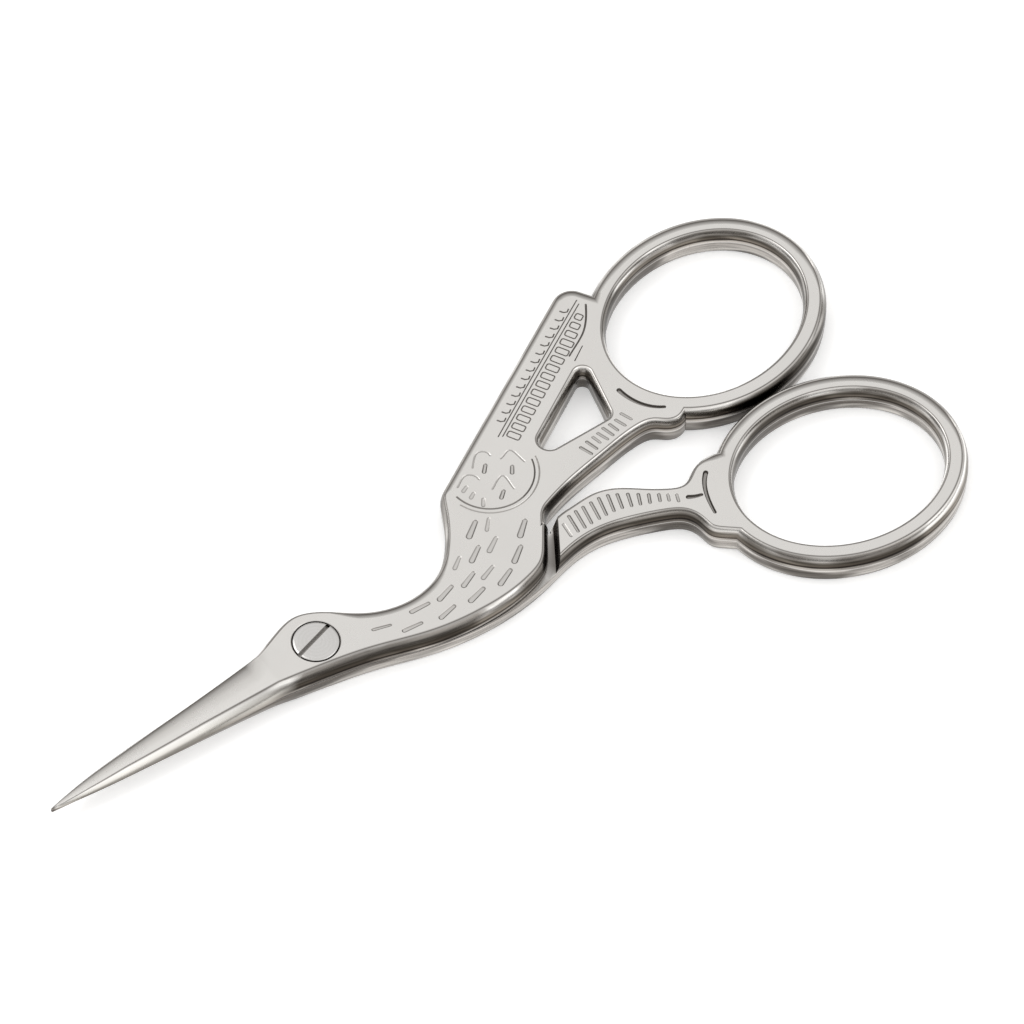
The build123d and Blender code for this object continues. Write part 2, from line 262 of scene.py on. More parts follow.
def smooth_curve(points, step):
    """Points at an even step on a cubic spline through the given points, and its end slope."""
    points = np.asarray(points, float)
    times = np.concatenate([[0.0], np.cumsum(np.linalg.norm(np.diff(points, axis=0), axis=1))])
    gaps = np.diff(times)
    rises = np.diff(points, axis=0) / gaps[:, None]
    count = len(points)
    matrix = np.eye(count)
    known = np.zeros_like(points)
    known[0] = end_slope(times, points)
    known[-1] = -end_slope(-times[::-1], points[::-1])
    for i in range(1, count - 1):
        matrix[i, i - 1:i + 2] = gaps[i], 2 * (gaps[i - 1] + gaps[i]), gaps[i - 1]
        known[i] = 3 * (gaps[i] * rises[i - 1] + gaps[i - 1] * rises[i])
    slopes = np.linalg.solve(matrix, known)
    samples = np.linspace(0, times[-1], max(3, int(times[-1] / step) + 1))
    before = np.clip(np.searchsorted(times, samples, side="right") - 1, 0, count - 2)
    width = gaps[before][:, None]
    part = (samples - times[before])[:, None] / width
    line = ((1 + 2 * part) * (1 - part) ** 2 * points[before]
            + part * (1 - part) ** 2 * width * slopes[before]
            + part ** 2 * (3 - 2 * part) * points[before + 1]
            + part ** 2 * (part - 1) * width * slopes[before + 1])
    return line, slopes[-1]


def straight(start, end, step):
    """Points at an even step on a straight line, both ends included."""
    start, end = np.asarray(start, float), np.asarray(end, float)
    parts = np.linspace(0, 1, max(2, int(np.linalg.norm(end - start) / step) + 1))
    return start + parts[:, None] * (end - start)


def polyline(points, step):
    """Points at an even step along straight lines."""
    pieces = [straight(a, b, step)[:-1] for a, b in zip(points, points[1:])]
    return np.vstack(pieces + [[points[-1]]])


def arc_about(centre, radius, start, turn, step):
    """Points on an arc, from a start angle through a turn."""
    angles = start + np.linspace(0, turn, max(4, int(abs(turn) * radius / step) + 1))
    return np.asarray(centre) + radius * np.column_stack([np.cos(angles), np.sin(angles)])


def rounded_corner(before, corner, after, radius, step):
    """The arc that rounds a corner between two straight lines."""
    before, corner, after = (np.asarray(p, float) for p in (before, corner, after))
    back = (before - corner) / np.linalg.norm(before - corner)
    ahead = (after - corner) / np.linalg.norm(after - corner)
    half = math.acos(float(np.clip(back @ ahead, -1, 1))) / 2
    middle = (back + ahead) / np.linalg.norm(back + ahead)
    centre = corner + middle * radius / math.sin(half)
    first = corner + back * radius / math.tan(half) - centre
    last = corner + ahead * radius / math.tan(half) - centre
    start = math.atan2(first[1], first[0])
    turn = (math.atan2(last[1], last[0]) - start + math.pi) % (2 * math.pi) - math.pi
    return arc_about(centre, radius, start, turn, step)


def tangent_arc(start, heading, end, step):
    """The arc that leaves a point along a heading and ends at another point."""
    start, end = np.asarray(start, float), np.asarray(end, float)
    heading = np.asarray(heading, float) / np.linalg.norm(heading)
    side = np.array([-heading[1], heading[0]])
    chord = end - start
    radius = chord @ chord / (2 * chord @ side)
    centre = start + side * radius
    first, last = start - centre, end - centre
    begin = math.atan2(first[1], first[0])
    turn = math.atan2(last[1], last[0]) - begin
    turn = turn % (2 * math.pi) if radius > 0 else -((-turn) % (2 * math.pi))
    return arc_about(centre, abs(radius), begin, turn, step)


class Oval:
    """A tilted ellipse in the plan."""

    def __init__(self, middle, length_radius, width_radius, tilt):
        self.middle = np.asarray(middle, float)
        self.radii = np.array([length_radius, width_radius])
        self.turn = np.array([[math.cos(tilt), -math.sin(tilt)], [math.sin(tilt), math.cos(tilt)]])

    def angle_of(self, point):
        """The angle of a point, from the ellipse's long axis."""
        flat = (np.asarray(point) - self.middle) @ self.turn / self.radii
        return math.atan2(flat[1], flat[0])

    def holds(self, points):
        """Which points lie inside."""
        flat = (np.asarray(points) - self.middle) @ self.turn / self.radii
        return (flat ** 2).sum(axis=-1) < 1

    def arc(self, start, turn, step):
        """Points on the ellipse, from a start angle through a turn."""
        count = max(8, int(abs(turn) * self.radii.mean() / step))
        angles = start + np.linspace(0, turn, count + 1)
        flat = np.column_stack([np.cos(angles), np.sin(angles)]) * self.radii
        return self.middle + flat @ self.turn.T

    def between(self, first, last, step):
        """Points on the ellipse, clockwise from one of its points to another."""
        start = self.angle_of(first)
        return self.arc(start, -((start - self.angle_of(last)) % (2 * math.pi)), step)


def finger_ring(sizes, advance, side):
    """The outer oval of a finger ring, and the loop of its bore. side is 1 over the closing line
    and -1 under it."""
    middle = (sizes["ring_reach"] + advance, sizes["closing_line"] + side * sizes["ring_rise"])
    tilt = side * sizes["ring_tilt"]
    outer = Oval(middle, sizes["outer_length_radius"], sizes["outer_width_radius"], tilt)
    bore = Oval(middle, sizes["ring_bore_length"] / 2, sizes["ring_bore_width"] / 2, tilt)
    return outer, bore.arc(0, 2 * math.pi, sizes["step"])[:-1]


def outside_part(line, oval, keep_first):
    """The part of a line outside an oval, ended exactly on it."""
    inside = oval.holds(line)
    if keep_first:
        at = int(np.argmax(inside))
        outer, inner = line[at - 1], line[at]
    else:
        at = len(line) - int(np.argmax(inside[::-1]))
        outer, inner = line[at], line[at - 1]
    low, high = 0.0, 1.0
    for _ in range(HALVINGS):
        middle = (low + high) / 2
        if oval.holds(outer + middle * (inner - outer)):
            high = middle
        else:
            low = middle
    crossing = outer + low * (inner - outer)
    return np.vstack([line[:at], [crossing]]) if keep_first else np.vstack([[crossing], line[at:]])


def split_at(line, first, second):
    """Cut a line where it crosses the straight line through two points."""
    first, second = np.asarray(first, float), np.asarray(second, float)
    across = np.array([-(second - first)[1], (second - first)[0]])
    sides = (line - first) @ across
    at = int(np.argmax(sides[:-1] * sides[1:] < 0))
    part = sides[at] / (sides[at] - sides[at + 1])
    crossing = line[at] + part * (line[at + 1] - line[at])
    return np.vstack([line[:at + 1], [crossing]]), np.vstack([[crossing], line[at + 1:]])


def joined(*lines):
    """Lines joined end to end, with the points that repeat left out."""
    points = np.vstack(lines)
    keep = np.concatenate([[True], np.linalg.norm(np.diff(points, axis=0), axis=1) > TOUCHING])
    return points[keep]


def inset(loop, offsets):
    """A closed loop moved to its right by an offset for each of its edges."""
    ahead = np.roll(loop, -1, axis=0) - loop
    ahead /= np.linalg.norm(ahead, axis=1)[:, None]
    right = np.column_stack([ahead[:, 1], -ahead[:, 0]])
    before, before_offset = np.roll(right, 1, axis=0), np.roll(offsets, 1)
    closeness = (before * right).sum(axis=1)
    even = (before + right) * ((before_offset + offsets) / 2 / (1 + closeness))[:, None]
    cross = before[:, 0] * right[:, 1] - before[:, 1] * right[:, 0]
    straight_on = np.abs(cross) < NEARLY_STRAIGHT
    safe = np.where(straight_on, 1.0, cross)
    corner = np.column_stack([(before_offset * right[:, 1] - offsets * before[:, 1]) / safe,
                              (before[:, 0] * offsets - right[:, 0] * before_offset) / safe])
    return loop + np.where(straight_on[:, None], even, corner)


def within(points, starts, ends):
    """Which points lie inside the loops whose edges run from the starts to the ends."""
    spans = (starts[:, 1] > points[:, None, 1]) != (ends[:, 1] > points[:, None, 1])
    rise = np.where(ends[:, 1] == starts[:, 1], 1.0, ends[:, 1] - starts[:, 1])
    cut = starts[:, 0] + (points[:, None, 1] - starts[:, 1]) * (ends - starts)[:, 0] / rise
    return (spans & (points[:, None, 0] < cut)).sum(axis=1) % 2 == 1


def turn_of(one, other, third):
    """Which side of the line through two points a third is on."""
    return ((other - one)[:, 0] * (third - one)[:, 1] - (other - one)[:, 1] * (third - one)[:, 0])


def untangled(loop):
    """A loop with each small fold, where it crosses itself, drawn together at the crossing."""
    loop = loop.copy()
    for gap in range(FOLD_REACH, 1, -1):
        ahead = np.roll(loop, -1, axis=0)
        far, far_ahead = np.roll(loop, -gap, axis=0), np.roll(ahead, -gap, axis=0)
        first, second = turn_of(loop, ahead, far), turn_of(loop, ahead, far_ahead)
        third, fourth = turn_of(far, far_ahead, loop), turn_of(far, far_ahead, ahead)
        for i in np.nonzero((first * second < 0) & (third * fourth < 0))[0]:
            part = first[i] / (first[i] - second[i])
            fold = (np.arange(i + 1, i + gap + 1)) % len(loop)
            loop[fold] = far[i] + part * (far_ahead[i] - far[i])
    for _ in range(SPIKE_ROUNDS):
        steps = np.linalg.norm(loop - np.roll(loop, 1, axis=0), axis=1)
        moving = np.nonzero(steps > SAME_PLACE)[0]
        kept = loop[moving]
        before, after = kept - np.roll(kept, 1, axis=0), np.roll(kept, -1, axis=0) - kept
        lengths = np.linalg.norm(before, axis=1) * np.linalg.norm(after, axis=1)
        spikes = (before * after).sum(axis=1) < SPIKE_COSINE * lengths
        if not spikes.any():
            break
        for i in np.nonzero(spikes)[0]:
            same = np.linalg.norm(loop - kept[i], axis=1) < SAME_PLACE
            loop[same] = kept[i - 1]
    return loop


def chain(lines):
    """A closed loop of open lines laid end to end, and which line each of its edges is on."""
    points = np.vstack([line[:-1] for line in lines])
    owner = np.concatenate([np.full(len(line) - 1, number) for number, line in enumerate(lines)])
    return points, owner


def mm_sizes(settings):
    """The panel's sizes in millimetres and radians."""
    sizes = {}
    for name in settings.__annotations__:
        value = getattr(settings, name)
        sizes[name] = value / MM if settings.bl_rna.properties[name].unit == "LENGTH" else value
    length_radius = sizes["ring_bore_length"] / 2 + sizes["ring_bar"]
    width_radius = sizes["ring_bore_width"] / 2 + sizes["ring_bar"]
    sizes["outer_length_radius"] = length_radius - BOX_MARGIN
    sizes["outer_width_radius"] = width_radius - BOX_MARGIN
    sizes["ring_rise"] = sizes["ring_gap"] / 2 + math.hypot(
        length_radius * math.sin(sizes["ring_tilt"]), width_radius * math.cos(sizes["ring_tilt"]))
    sizes["closing_line"] = -sizes["closing_line_drop"]
    sizes["lap_height"] = sizes["plate_thickness"] / 2
    sizes["upper_floor"] = sizes["lap_height"] + sizes["lap_gap"] / 2
    sizes["lower_top"] = sizes["lap_height"] - sizes["lap_gap"] / 2
    return sizes


def blade_edge(stations, edge, sizes):
    """A blade's edge in plan, from its root to its tip."""
    points = [(-station[0] * sizes["blade_reach"],
               sizes["closing_line"] + station[edge] * sizes["blade_width"])
              for station in stations]
    return smooth_curve(points, sizes["step"])[0]


def blade_table(stations, sizes):
    """Reaches of a blade's stations, and there the lean of its two sides and its height."""
    table, width, tip = np.array(stations), sizes["blade_width"], sizes["tip_height"]
    return {"reach": table[:, 0] * sizes["blade_reach"],
            "high": (table[:, HIGH_EDGE] - table[:, HIGH_RIDGE]) * width,
            "low": (table[:, LOW_RIDGE] - table[:, LOW_EDGE]) * width,
            "height": (tip + table[:, FULLNESS] * (sizes["lower_top"] - tip)) / sizes["lower_top"]}


def stork_plan(sizes):
    """The stork half's loops: what its two layers share, the upper layer's own part and the
    seam, with the holes."""
    step = sizes["step"]
    high, low = (blade_edge(FRONT_BLADE_SHARES, edge, sizes) for edge in (HIGH_EDGE, LOW_EDGE))
    neck = np.vstack([[high[0]], share_points(NECK_BACK_SHARES, sizes)])
    back, heading = smooth_curve(neck, step)
    shoulder = back[-1] + heading / np.linalg.norm(heading) * sizes["shoulder_run"]
    tail = share_points([TAIL_TIP_SHARE], sizes)[0]
    inside = share_points([INSIDE_RING_SHARE], sizes)[0]
    ring, bore = finger_ring(sizes, 0.0, 1)
    first = rounded_corner(back[-1], shoulder, tail, sizes["shoulder_round"], step)
    last = rounded_corner(shoulder, tail, inside, sizes["tail_round"], step)
    wing = joined(straight(back[-1], first[0], step), first, straight(first[-1], last[0], step),
                  last, straight(last[-1], inside, step))
    wing = outside_part(wing, ring, True)
    leg, leaving = smooth_curve(share_points(FRONT_LEG_SHARES, sizes), step)
    leg = outside_part(leg, ring, False)
    round_ring = ring.between(wing[-1], leg[0], step)
    belly = smooth_curve(np.vstack([share_points(BELLY_SHARES, sizes), [low[0]]]), step)[0]
    crotch = tangent_arc(leg[-1], leaving, belly[0], step / 2)
    seam = share_points(SEAM_SHARES, sizes)
    neck_back, body_back = split_at(back, seam[0], seam[1])
    body_belly, neck_belly = split_at(belly, seam[1], seam[2])
    shared = [body_back, wing, round_ring, joined(leg, crotch, body_belly)]
    shared[1][-1], shared[2][0] = round_ring[0], round_ring[0]
    shared[3][0] = round_ring[-1]
    seam_line = polyline([body_belly[-1], seam[1], body_back[0]], step)
    upper = [neck_belly, low, np.array([low[-1], high[-1]]), high[::-1], neck_back]
    corners = share_points(WINDOW_SHARES, sizes)
    rounds = [rounded_corner(corners[i - 1], corners[i], corners[(i + 1) % 3],
                             sizes["window_corner"] * share, step / 2)
              for i, share in enumerate(WINDOW_ROUND_SHARES)]
    window = joined(*[line for one, other in zip(rounds, rounds[1:] + rounds[:1])
                      for line in (one, straight(one[-1], other[0], step))])
    return {"shared": shared, "upper": upper, "lower": [seam_line], "holes": [bore, window[:-1]],
            "ring": 2}


def leg_plan(sizes):
    """The leg half's loops: what its two layers share, the lower layer's own part and the end
    of the leg above the lap, with the hole."""
    step = sizes["step"]
    high, low = (blade_edge(REAR_BLADE_SHARES, edge, sizes) for edge in (HIGH_EDGE, LOW_EDGE))
    back = smooth_curve(np.vstack([[high[0]], share_points(NECK_BACK_SHARES, sizes)]), step)[0]
    ring, bore = finger_ring(sizes, sizes["rear_ring_advance"], -1)
    top = smooth_curve(share_points(REAR_LEG_TOP_SHARES, sizes), step)[0]
    under = smooth_curve(np.vstack([share_points(REAR_LEG_LOW_SHARES, sizes), [low[0]]]), step)[0]
    top = outside_part(top, ring, True)
    under = outside_part(under, ring, False)
    round_ring = ring.between(top[-1], under[0], step)
    seam = share_points(SEAM_SHARES, sizes)
    gap = sizes["seam_gap"]
    across = [(seam[1] - seam[0])[::-1] * (1, -1), (seam[2] - seam[1])[::-1] * (1, -1)]
    across = [side / np.linalg.norm(side) * gap for side in across]
    bend = seam[1] + (across[0] + across[1]) / (1 + across[0] @ across[1] / gap ** 2)
    edge = seam[2][0] + gap
    foot = np.array([edge, (seam[2] + across[1])[1]])
    neck_back = split_at(back, seam[0] + across[0], bend)[0]
    top = split_at(top, (edge, 0), (edge, 1))[1]
    end_line = share_points(LEG_END_SHARES, sizes)
    root_top, leg_top = split_at(top, end_line[0], end_line[1])
    flare = np.array([-sizes["leg_end_flare"], 0])
    leg_under, neck_under = split_at(under, leg_top[0], end_line[1] + flare * LEG_END_FLARE_SHARE)
    shared = [leg_top, round_ring, leg_under]
    shared[0][-1] = round_ring[0]
    shared[2][0] = round_ring[-1]
    lower = [neck_under, low, np.array([low[-1], high[-1]]), high[::-1], neck_back,
             polyline([neck_back[-1], bend, foot, top[0]], step), root_top]
    upper = [straight(leg_under[-1], leg_top[0], step)]
    return {"shared": shared, "upper": upper, "lower": lower, "holes": [bore], "ring": 1}


class Shell:
    """Collects a forging's points and faces, how each point is finished and where it gets painted
    shade.
    """

    # Marks of a point: how much it is on a side rather than a face, its level up the side, the
    # painted dark line along a face's edge, the painted shade in recesses, at the lap's foot and on
    # a blade's tip, a blade's high edge, towards which its face gets painted shade, and how much of
    # the side is a blade's
    MARKS = ("side", "level", "edge", "groove", "high", "blade")

    def __init__(self):
        self.points, self.marks, self.faces, self.flats = [], [], [], set()

    def ring(self, loop, height, side=0.0, level=0.0, edge=0.0, groove=0.0, high=0.0, blade=0.0):
        """Adds a loop's points at a height, and returns their numbers."""
        first = len(self.points)
        rows = np.empty((len(loop), 9))
        rows[:, :2] = loop
        for column, value in enumerate((height, side, level, edge, groove, high, blade)):
            rows[:, 2 + column] = value
        self.points += rows[:, :3].tolist()
        self.marks += rows[:, 3:].tolist()
        return np.arange(first, first + len(loop))

    def skin(self, rings):
        """Adds a band of faces between each ring and the next."""
        for one, other in zip(rings, rings[1:]):
            band = np.column_stack([one, np.roll(one, -1), np.roll(other, -1), other])
            self.faces += band.tolist()

    def cap(self, outer, holes=()):
        """Fills a ring, but not the rings inside it."""
        loops = [list(outer)] + [list(hole) for hole in holes]
        numbers = [number for loop in loops for number in loop]
        flat = [Vector(self.points[number][:2]) for number in numbers]
        edges, first = [], 0
        for loop in loops:
            edges += [(first + i, first + (i + 1) % len(loop)) for i in range(len(loop))]
            first += len(loop)
        points, _, faces, origins, _, _ = delaunay_2d_cdt(flat, edges, [], 1, SLIVER)
        if any(not origin for origin in origins):
            raise ValueError("two struck marks or edges of a face cross")
        ends = np.array([[flat[a], flat[b]] for a, b in edges])
        middles = np.array([[points[i] for i in face] for face in faces]).mean(axis=1)
        inside = within(middles, ends[:, 0], ends[:, 1])
        before = len(self.faces)
        self.faces += [[numbers[origins[i][0]] for i in face]
                       for face, keep in zip(faces, inside) if keep]
        self.flats.update(range(before, len(self.faces)))

    def mesh(self, name):
        """The closed mesh, in metres, with its marks as attributes."""
        mesh = bpy.data.meshes.new(name)
        mesh.from_pydata((np.array(self.points) * MM).tolist(), [], self.faces)
        for column, mark in enumerate(self.MARKS):
            layer = mesh.attributes.new(mark, "FLOAT", "POINT")
            layer.data.foreach_set("value", np.array(self.marks)[:, column])
        smooth = [i not in self.flats for i in range(len(self.faces))]
        mesh.polygons.foreach_set("use_smooth", smooth)
        soft = bmesh.new()
        soft.from_mesh(mesh)
        bmesh.ops.remove_doubles(soft, verts=soft.verts, dist=WELD)
        bmesh.ops.dissolve_degenerate(soft, edges=soft.edges, dist=SLIVER)
        bmesh.ops.recalc_face_normals(soft, faces=soft.faces)
        if any(not edge.is_manifold for edge in soft.edges):
            raise ValueError(name + " has an open edge")
        soft.to_mesh(mesh)
        smooth = [face.smooth for face in soft.faces]
        soft.free()
        mesh.set_sharp_from_angle(angle=FORGING_SHARP)
        mesh.polygons.foreach_set("use_smooth", smooth)
        return mesh


def raise_side(shell, loop, floor, rise, height, lean, table, sizes, hollow=0.0, lap=0.0,
               high=0.0, roll_from=math.inf):
    """Raises a loop's side from the lap plane to the flat face, and returns the first and last
    rings. hollow marks the edges whose side curves inwards, lap those whose foot is rounded,
    both with painted shade at the foot, and high the points on a blade's high edge, towards which
    the blade's face gets painted shade; a blade's tip gets painted shade too. From roll_from on,
    the upper edges that face away from the claws are rolled off."""
    across = loop[:, 0]
    blade = np.clip((BLADE_RUN / 2 - table["reach"][0] - across) / BLADE_RUN, 0, 1)
    # Painted shade on a blade's tip
    tip = (TIP_SHADE_START - table["reach"][-1] - across) / TIP_SHADE_RUN
    tip = np.clip(tip, 0, 1) * TIP_SHADE
    ahead = np.roll(loop, -1, axis=0) - np.roll(loop, 1, axis=0)
    away = ahead @ ROLL_WAY / np.linalg.norm(ahead, axis=1)
    away = (np.clip((away - ROLL_FACING) / ROLL_FACING_RUN, 0, 1)
            * np.clip((across - roll_from) / ROLL_RUN, 0, 1))
    share = np.interp(-across, table["reach"], table["height"])
    rings = []
    levels = UPPER_SIDE_SHARES if rise > 0 else LOWER_SIDE_SHARES
    last = len(levels) - 1
    for number, (body, edge) in enumerate(zip(levels, BLADE_SIDE_SHARES)):
        inward, up, foot, side = (body[i] + blade * (edge[i] - body[i]) for i in range(4))
        curved = (1 - (1 - np.minimum(up, 1)) ** HOLLOW_POWER
                  + (inward - 1) * (inward > 1) * HOLLOW_OVERSHOOT)
        offset = lean * (inward + hollow * (curved - inward)) + lap * sizes["lap_round"] * foot
        line = untangled(inset(loop, offset + away * sizes["far_roll"] * (number == last)))
        z = floor + rise * (height * share * up - away * sizes["far_drop"] * (number == last - 1))
        # Painted shade at the foot of the first levels, on a lap's edge and in a hollow
        foot_shade = (LAP_SHADES[number] * lap + HOLLOW_SHADE * (hollow > 0)
                      if number < len(LAP_SHADES) else 0.0)
        # edge marks the ring at the face's edge, where a painted dark line of shade is drawn
        rings.append(shell.ring(line, z, side=side, level=rise * up, edge=float(number == last - 1),
                                groove=np.maximum(tip, foot_shade),
                                high=blade * high * (number > 0), blade=blade * (number > 0)))
    shell.skin(rings)
    return rings[0], rings[-1]


def stroke(line, blunt, narrow, trim):
    """A closed loop round a line, with a half width at each end, drawn in by a trim."""
    line = smooth_curve(line, CURVE_STEP)[0] if len(line) > 2 else straight(*line, STRAIGHT_STEP)
    ahead = np.gradient(line, axis=0)
    ahead /= np.linalg.norm(ahead, axis=1)[:, None]
    left = np.column_stack([-ahead[:, 1], ahead[:, 0]])
    half = np.linspace(blunt, narrow, len(line))
    half = np.maximum(half - trim, THINNEST_SHARE * half)[:, None]
    turns = np.linspace(math.pi / 2, 3 * math.pi / 2, END_POINTS)[1:-1, None]
    start = line[0] + half[0] * (np.cos(turns) * ahead[0] + np.sin(turns) * left[0])
    end = line[-1] - half[-1] * (np.cos(turns) * ahead[-1] + np.sin(turns) * left[-1])
    return np.vstack([(line + half * left)[::-1], start, line - half * left, end])


def cell(middle, size, tilt, trim):
    """A rounded oblong loop, drawn in by a trim."""
    radius = CELL_CORNER - trim * CELL_CORNER_TRIM
    reach = np.array(size) / 2 - trim - radius
    corners = [arc_about(reach * quarter, radius, number * math.pi / 2, math.pi / 2,
                         radius / CELL_CORNER_STEPS)
               for number, quarter in enumerate([(1, 1), (-1, 1), (-1, -1), (1, -1)])]
    turn = np.array([[math.cos(tilt), -math.sin(tilt)], [math.sin(tilt), math.cos(tilt)]])
    return np.asarray(middle) + np.vstack(corners) @ turn.T


def clear_of(loop, boundaries):
    """Whether a loop lies inside the first boundary, outside the others, and clear of them all."""
    for number, boundary in enumerate(boundaries):
        inside = within(loop, boundary, np.roll(boundary, -1, axis=0))
        if not (inside.all() if number == 0 else not inside.any()):
            return False
        if np.linalg.norm(loop[:, None] - boundary[None], axis=2).min() < MARK_MARGIN:
            return False
    return True


def wing_place(along, across):
    """A point on the wing, along its shaft and across it."""
    cosine, sine = math.cos(WING_TILT), math.sin(WING_TILT)
    return (WING_START[0] + along * cosine - across * sine,
            WING_START[1] + along * sine + across * cosine)


def struck(name, line, blow=1.0):
    """A mark along a line, by the name of its stroke."""
    kind, blunt, narrow, depth = STROKES[name]
    return kind, partial(stroke, line, blunt, narrow), depth * blow


def feather_marks():
    """The neck's struck feathers."""
    marks = []
    for blunt_end, narrow_end, half_width, blow in NECK_FEATHERS:
        reach = FEATHER_LENGTH_SHARE * (np.array(narrow_end) - blunt_end)
        shape = partial(stroke, (blunt_end, blunt_end + reach), half_width,
                        half_width * FEATHER_NARROW_SHARE)
        depth = FULL_BLOW * (FEATHER_FAINT_SHARE + (1 - FEATHER_FAINT_SHARE) * blow)
        marks.append(("pit", shape, depth))
    return marks


def leg_marks(bars, claws):
    """Bars struck across a leg, and grooves over its claw."""
    return ([struck("bar", (start, end), blow) for start, end, blow in bars]
            + [struck("claw", line) for line in claws])


def wing_marks():
    """The wing's cells, ticks and shaft, and the lines along the tail's edge."""
    cells = []
    for i in range(CELL_COUNT):
        span = CELL_LENGTHS[max(0, i - CELL_COUNT + len(CELL_LENGTHS))]
        place = wing_place(FIRST_CELL[0] + FEATHER_SPACING * i, FIRST_CELL[1] - span / 2)
        shape = partial(cell, place, (span, CELL_WIDTH), WING_TILT + math.pi / 2)
        cells.append(("frame", shape, CELL_DEPTH))
    ticks = [[wing_place(FIRST_TICK[0] + FEATHER_SPACING * i + along, FIRST_TICK[1] + across)
              for along, across in TICK] for i in range(TICK_COUNT)]
    shafts = [[wing_place(start, across), wing_place((start + end) / 2, across + SHAFT_BOW),
               wing_place(end, across)] for start, end, across in SHAFT_LINES]
    return (cells + [struck("tick", line) for line in ticks]
            + [struck("shaft", line) for line in shafts]
            + [struck("tail edge", TAIL_EDGE), struck("tail line", TAIL_LINE)])


def shoulder_marks():
    """The shoulder's double arc, small ovals and four short arches."""
    marks = []
    for radius, start, turn, name in SHOULDER_ARCS:
        arc = arc_about(SHOULDER, radius, math.radians(start), math.radians(turn), ARC_STEP)
        marks.append(struck(name, arc))
    for x, y, tilt, size, blow in SHOULDER_OVALS:
        way = np.array([math.cos(math.radians(tilt)), math.sin(math.radians(tilt))])
        reach = way * (size - OVAL_END)
        marks.append(struck("oval", ((x, y) - reach, (x, y) + reach), blow))
    return marks + [struck("arch", line) for line in SHOULDER_ARCHES]


def decorate(shell, marks, boundaries, face, rise):
    """Strikes the marks that fit into a face, with painted shade in their recesses, and returns
    their rims.
    """
    rims = []
    for kind, shape, depth in marks:
        if not clear_of(shape(0.0), boundaries):
            continue
        fade = 1.0
        if kind in FADING:
            fade = min(FADE_MOST, FADE_LEAST + FADE_GROWTH * depth / FULL_BLOW)
        rings = [shell.ring(shape(trim), face - rise * depth * down, groove=fade * shade)
                 for trim, down, shade in zip(*STRIKES[kind])]
        shell.skin(rings)
        shell.cap(rings[-1])
        rims.append(rings[0])
    return rims


def build_layers(shell, plan, table, sizes, kind):
    """Raises both layers of a half from its lap plane, and returns how many edges they share
    and, for each layer, its first ring, its last ring and the last rings of its holes."""
    shared = sum(len(line) - 1 for line in plan["shared"])
    base = sizes["upper_floor"] if kind == "stork" else sizes["lower_top"]
    layers = []
    for layer, rise in (("upper", 1), ("lower", -1)):
        height = sizes["plate_thickness"] - base if rise > 0 else base
        side_lean = sizes["side_lean"] if rise > 0 else sizes["lower_lean"]
        loop, owner = chain(plan["shared"] + plan[layer])
        place = np.arange(len(loop))
        part = np.where(place >= shared, owner - len(plan["shared"]), -1)
        across = (loop[:, 0] + np.roll(loop[:, 0], -1)) / 2
        lean = side_lean + RING_LEAN[rise] * ((part == -1) & (owner == plan["ring"]))
        hollow, lap, high = np.zeros((3, len(loop)))
        heights = table
        if (layer == "upper") == (kind == "stork"):
            under = np.isin(part, (NECK_LOW, BLADE_LOW))
            over = np.isin(part, (BLADE_HIGH, NECK_HIGH))
            lean[under] = np.interp(-across[under], table["reach"], table["low"])
            lean[over] = np.interp(-across[over], table["reach"], table["high"])
            on_lap = (part >= NECK_LOW) & (part <= NECK_HIGH)
            neck = on_lap & (across > -table["reach"][0])
            lean[neck] = np.interp(across[neck], *NECK_LEANS[kind, "low"])
            back = neck & (part == NECK_HIGH)
            lean[back] = np.interp(across[back], *NECK_LEANS[kind, "high"])
            lean[part == TIP] = TIP_LEAN
            lean[part == STEP] = STEP_LEAN
            first, last = place[on_lap][[0, -1]]
            lap = np.clip(np.minimum(place - first, last - place) / LAP_RUN, 0, 1)
            high[over] = 1
        else:
            heights = {**table, "height": np.ones(len(table["reach"]))}
            lean[part >= 0] = STEP_LEAN if kind == "stork" else sizes["leg_end_flare"]
            hollow[part >= 0] = kind == "leg"
        first, last = raise_side(shell, loop, base, rise, height, lean, heights, sizes, hollow, lap,
                                 high, ROLL_START[kind] if rise > 0 else math.inf)
        holes = [raise_side(shell, hole, base, rise, height, np.full(len(hole), side_lean), heights,
                            sizes)[1] for hole in plan["holes"]]
        layers.append((first, last, holes))
    return shared, layers


def loop_of(shell, ring):
    """The plan of a ring."""
    return np.array([shell.points[i][:2] for i in ring])


def circle_rings(shell, circles):
    """Adds circles round the pivot's axis, given by their radius, height and painted shade."""
    angles = np.arange(PIVOT_POINTS) * 2 * math.pi / PIVOT_POINTS
    unit = np.column_stack([np.cos(angles), np.sin(angles)])
    rings = [shell.ring(radius * unit, height, groove=shade) for radius, height, shade in circles]
    shell.skin(rings)
    return rings


